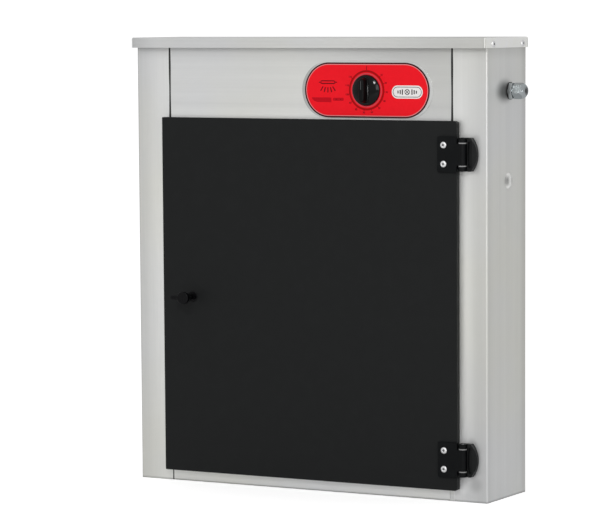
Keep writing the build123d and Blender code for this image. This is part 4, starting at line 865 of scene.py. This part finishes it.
# Hinges. Black moulded nylon leaves on a steel pin, with grey nylon washers between the knuckles and a
# sloping cover over the frame leaf's screws. The cover is a lighter copy of the same black nylon, as painted
# light.
hinge_black = moulded_look("hinge_nylon", (0.0032, 0.0038, 0.0043), 0.42, 2200.0, 0.00003, specular=0.11)
# The cover's black is lighter than the leaves' as painted light.
cover_painted_light_black = moulded_look("cover_nylon_painted_light", (0.005, 0.0058, 0.006), 0.36, 2200.0, 0.00003, specular=0.18)
washer_nylon = moulded_look("washer_nylon", (0.28, 0.28, 0.28), 0.45, 1800.0, 0.00002, specular=0.3)
dress(hinge_black, "hinge_door_leaf_upper", "hinge_door_leaf_lower", "hinge_frame_leaf_upper",
      "hinge_frame_leaf_lower")
dress(cover_painted_light_black, "hinge_cover_upper", "hinge_cover_lower")
dress(washer_nylon, "hinge_washers")


# Latch. A black lever knob on a steel spindle, which turns in a rosette that a nut holds in the pane. A
# screw holds the cam on the spindle's end, behind the frame's lip.
latch_black = moulded_look("latch_black", (0.002, 0.002, 0.0025), 0.26, 1400.0, 0.00002, specular=0.14)
dress(latch_black, "latch_knob", "latch_rosette")


# Cable gland and round plug in the right side. The gland is nickel-plated brass on a rubber washer, with a
# grey insert in its cap; its body and cap carry lighter and darker copies of the same nickel, as painted
# light and shade. The plug is a domed steel disc with painted reflections, dark at its two sides.
gland_insert_grey = moulded_look("gland_insert_grey", (0.16, 0.165, 0.17), 0.5, 2600.0, 0.00004, specular=0.3)
# One nickel in two tones: lighter on the body as painted light, darker on the cap as painted shade.
dress(metal_look("gland_nickel", (0.52, 0.55, 0.56), 0.2), "gland_body", "gland_locknut")
dress(metal_look("gland_cap_nickel_painted_shade", (0.43, 0.465, 0.48), 0.16), "gland_cap")
dress(gland_insert_grey, "gland_insert")
plug_low, plug_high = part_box("round_plug")
plug_y, plug_z = (plug_low[1] + plug_high[1]) / 2, (plug_low[2] + plug_high[2]) / 2
# Painted reflections: dark patches at the two sides of the plug's dome.
reflection_aside, reflection_size, reflection_shade = 0.0090, (0.02, 0.0085, 0.0125), 0.42
painted_reflections = [((plug_high[0], plug_y + side * reflection_aside, plug_z), reflection_size, reflection_shade)
           for side in (-1, 1)]
dress(steel_look("plug_steel", grain_all_ways, (0.97, 0.97, 0.96), 0.14, stains_and_painted_light=painted_reflections), "round_plug")


# Inside. A glass lamp tube with metal caps in two white holders, its bright reflector, the slotted rack
# on its two arms, and the ballast, starter, terminals, earth stud, wires and white switch plunger of the
# electrical space.
glass_look, tree, shader, place = new_look("lamp_glass")
haze = noise(tree, place, 60.0, 3.0, 0.6)
tree.links.new(mixed(tree, haze, (0.90, 0.94, 1.0, 1), (0.96, 0.98, 1.0, 1)), shader["Base Color"])
tree.links.new(scaled(tree, haze, 0.02, 0.06), shader["Roughness"])
shader["Transmission Weight"].default_value = 1.0
shader["IOR"].default_value = 1.48
dress(glass_look, "lamp_tube")
dress(metal_look("lamp_cap", (0.72, 0.72, 0.74), 0.22), "lamp_caps")
dress(metal_look("brass", (0.72, 0.52, 0.2), 0.25), "lamp_pins", "earth_stud", "earth_nut")
dress(moulded_look("white_plastic", (0.62, 0.62, 0.6), 0.35, 1800.0, 0.00002), "lamp_holders", "starter_base",
      "starter", "terminal_block", "switch_plunger")
dress(steel_look("bright_steel", grain_across, (0.66, 0.66, 0.66), 0.2), "lamp_reflector", "knife_rack")
grain_deep = (2400.0, 26.0, 2400.0)
dress(steel_look("arm_steel", grain_deep, (0.62, 0.62, 0.61), 0.26), "rack_arm_left", "rack_arm_right")
dress(moulded_look("ballast_paint", (0.05, 0.055, 0.06), 0.35, 900.0, 0.00003), "ballast")
dress(moulded_look("wire_sleeve", (0.02, 0.03, 0.22), 0.4, 1200.0, 0.00001), "wiring")
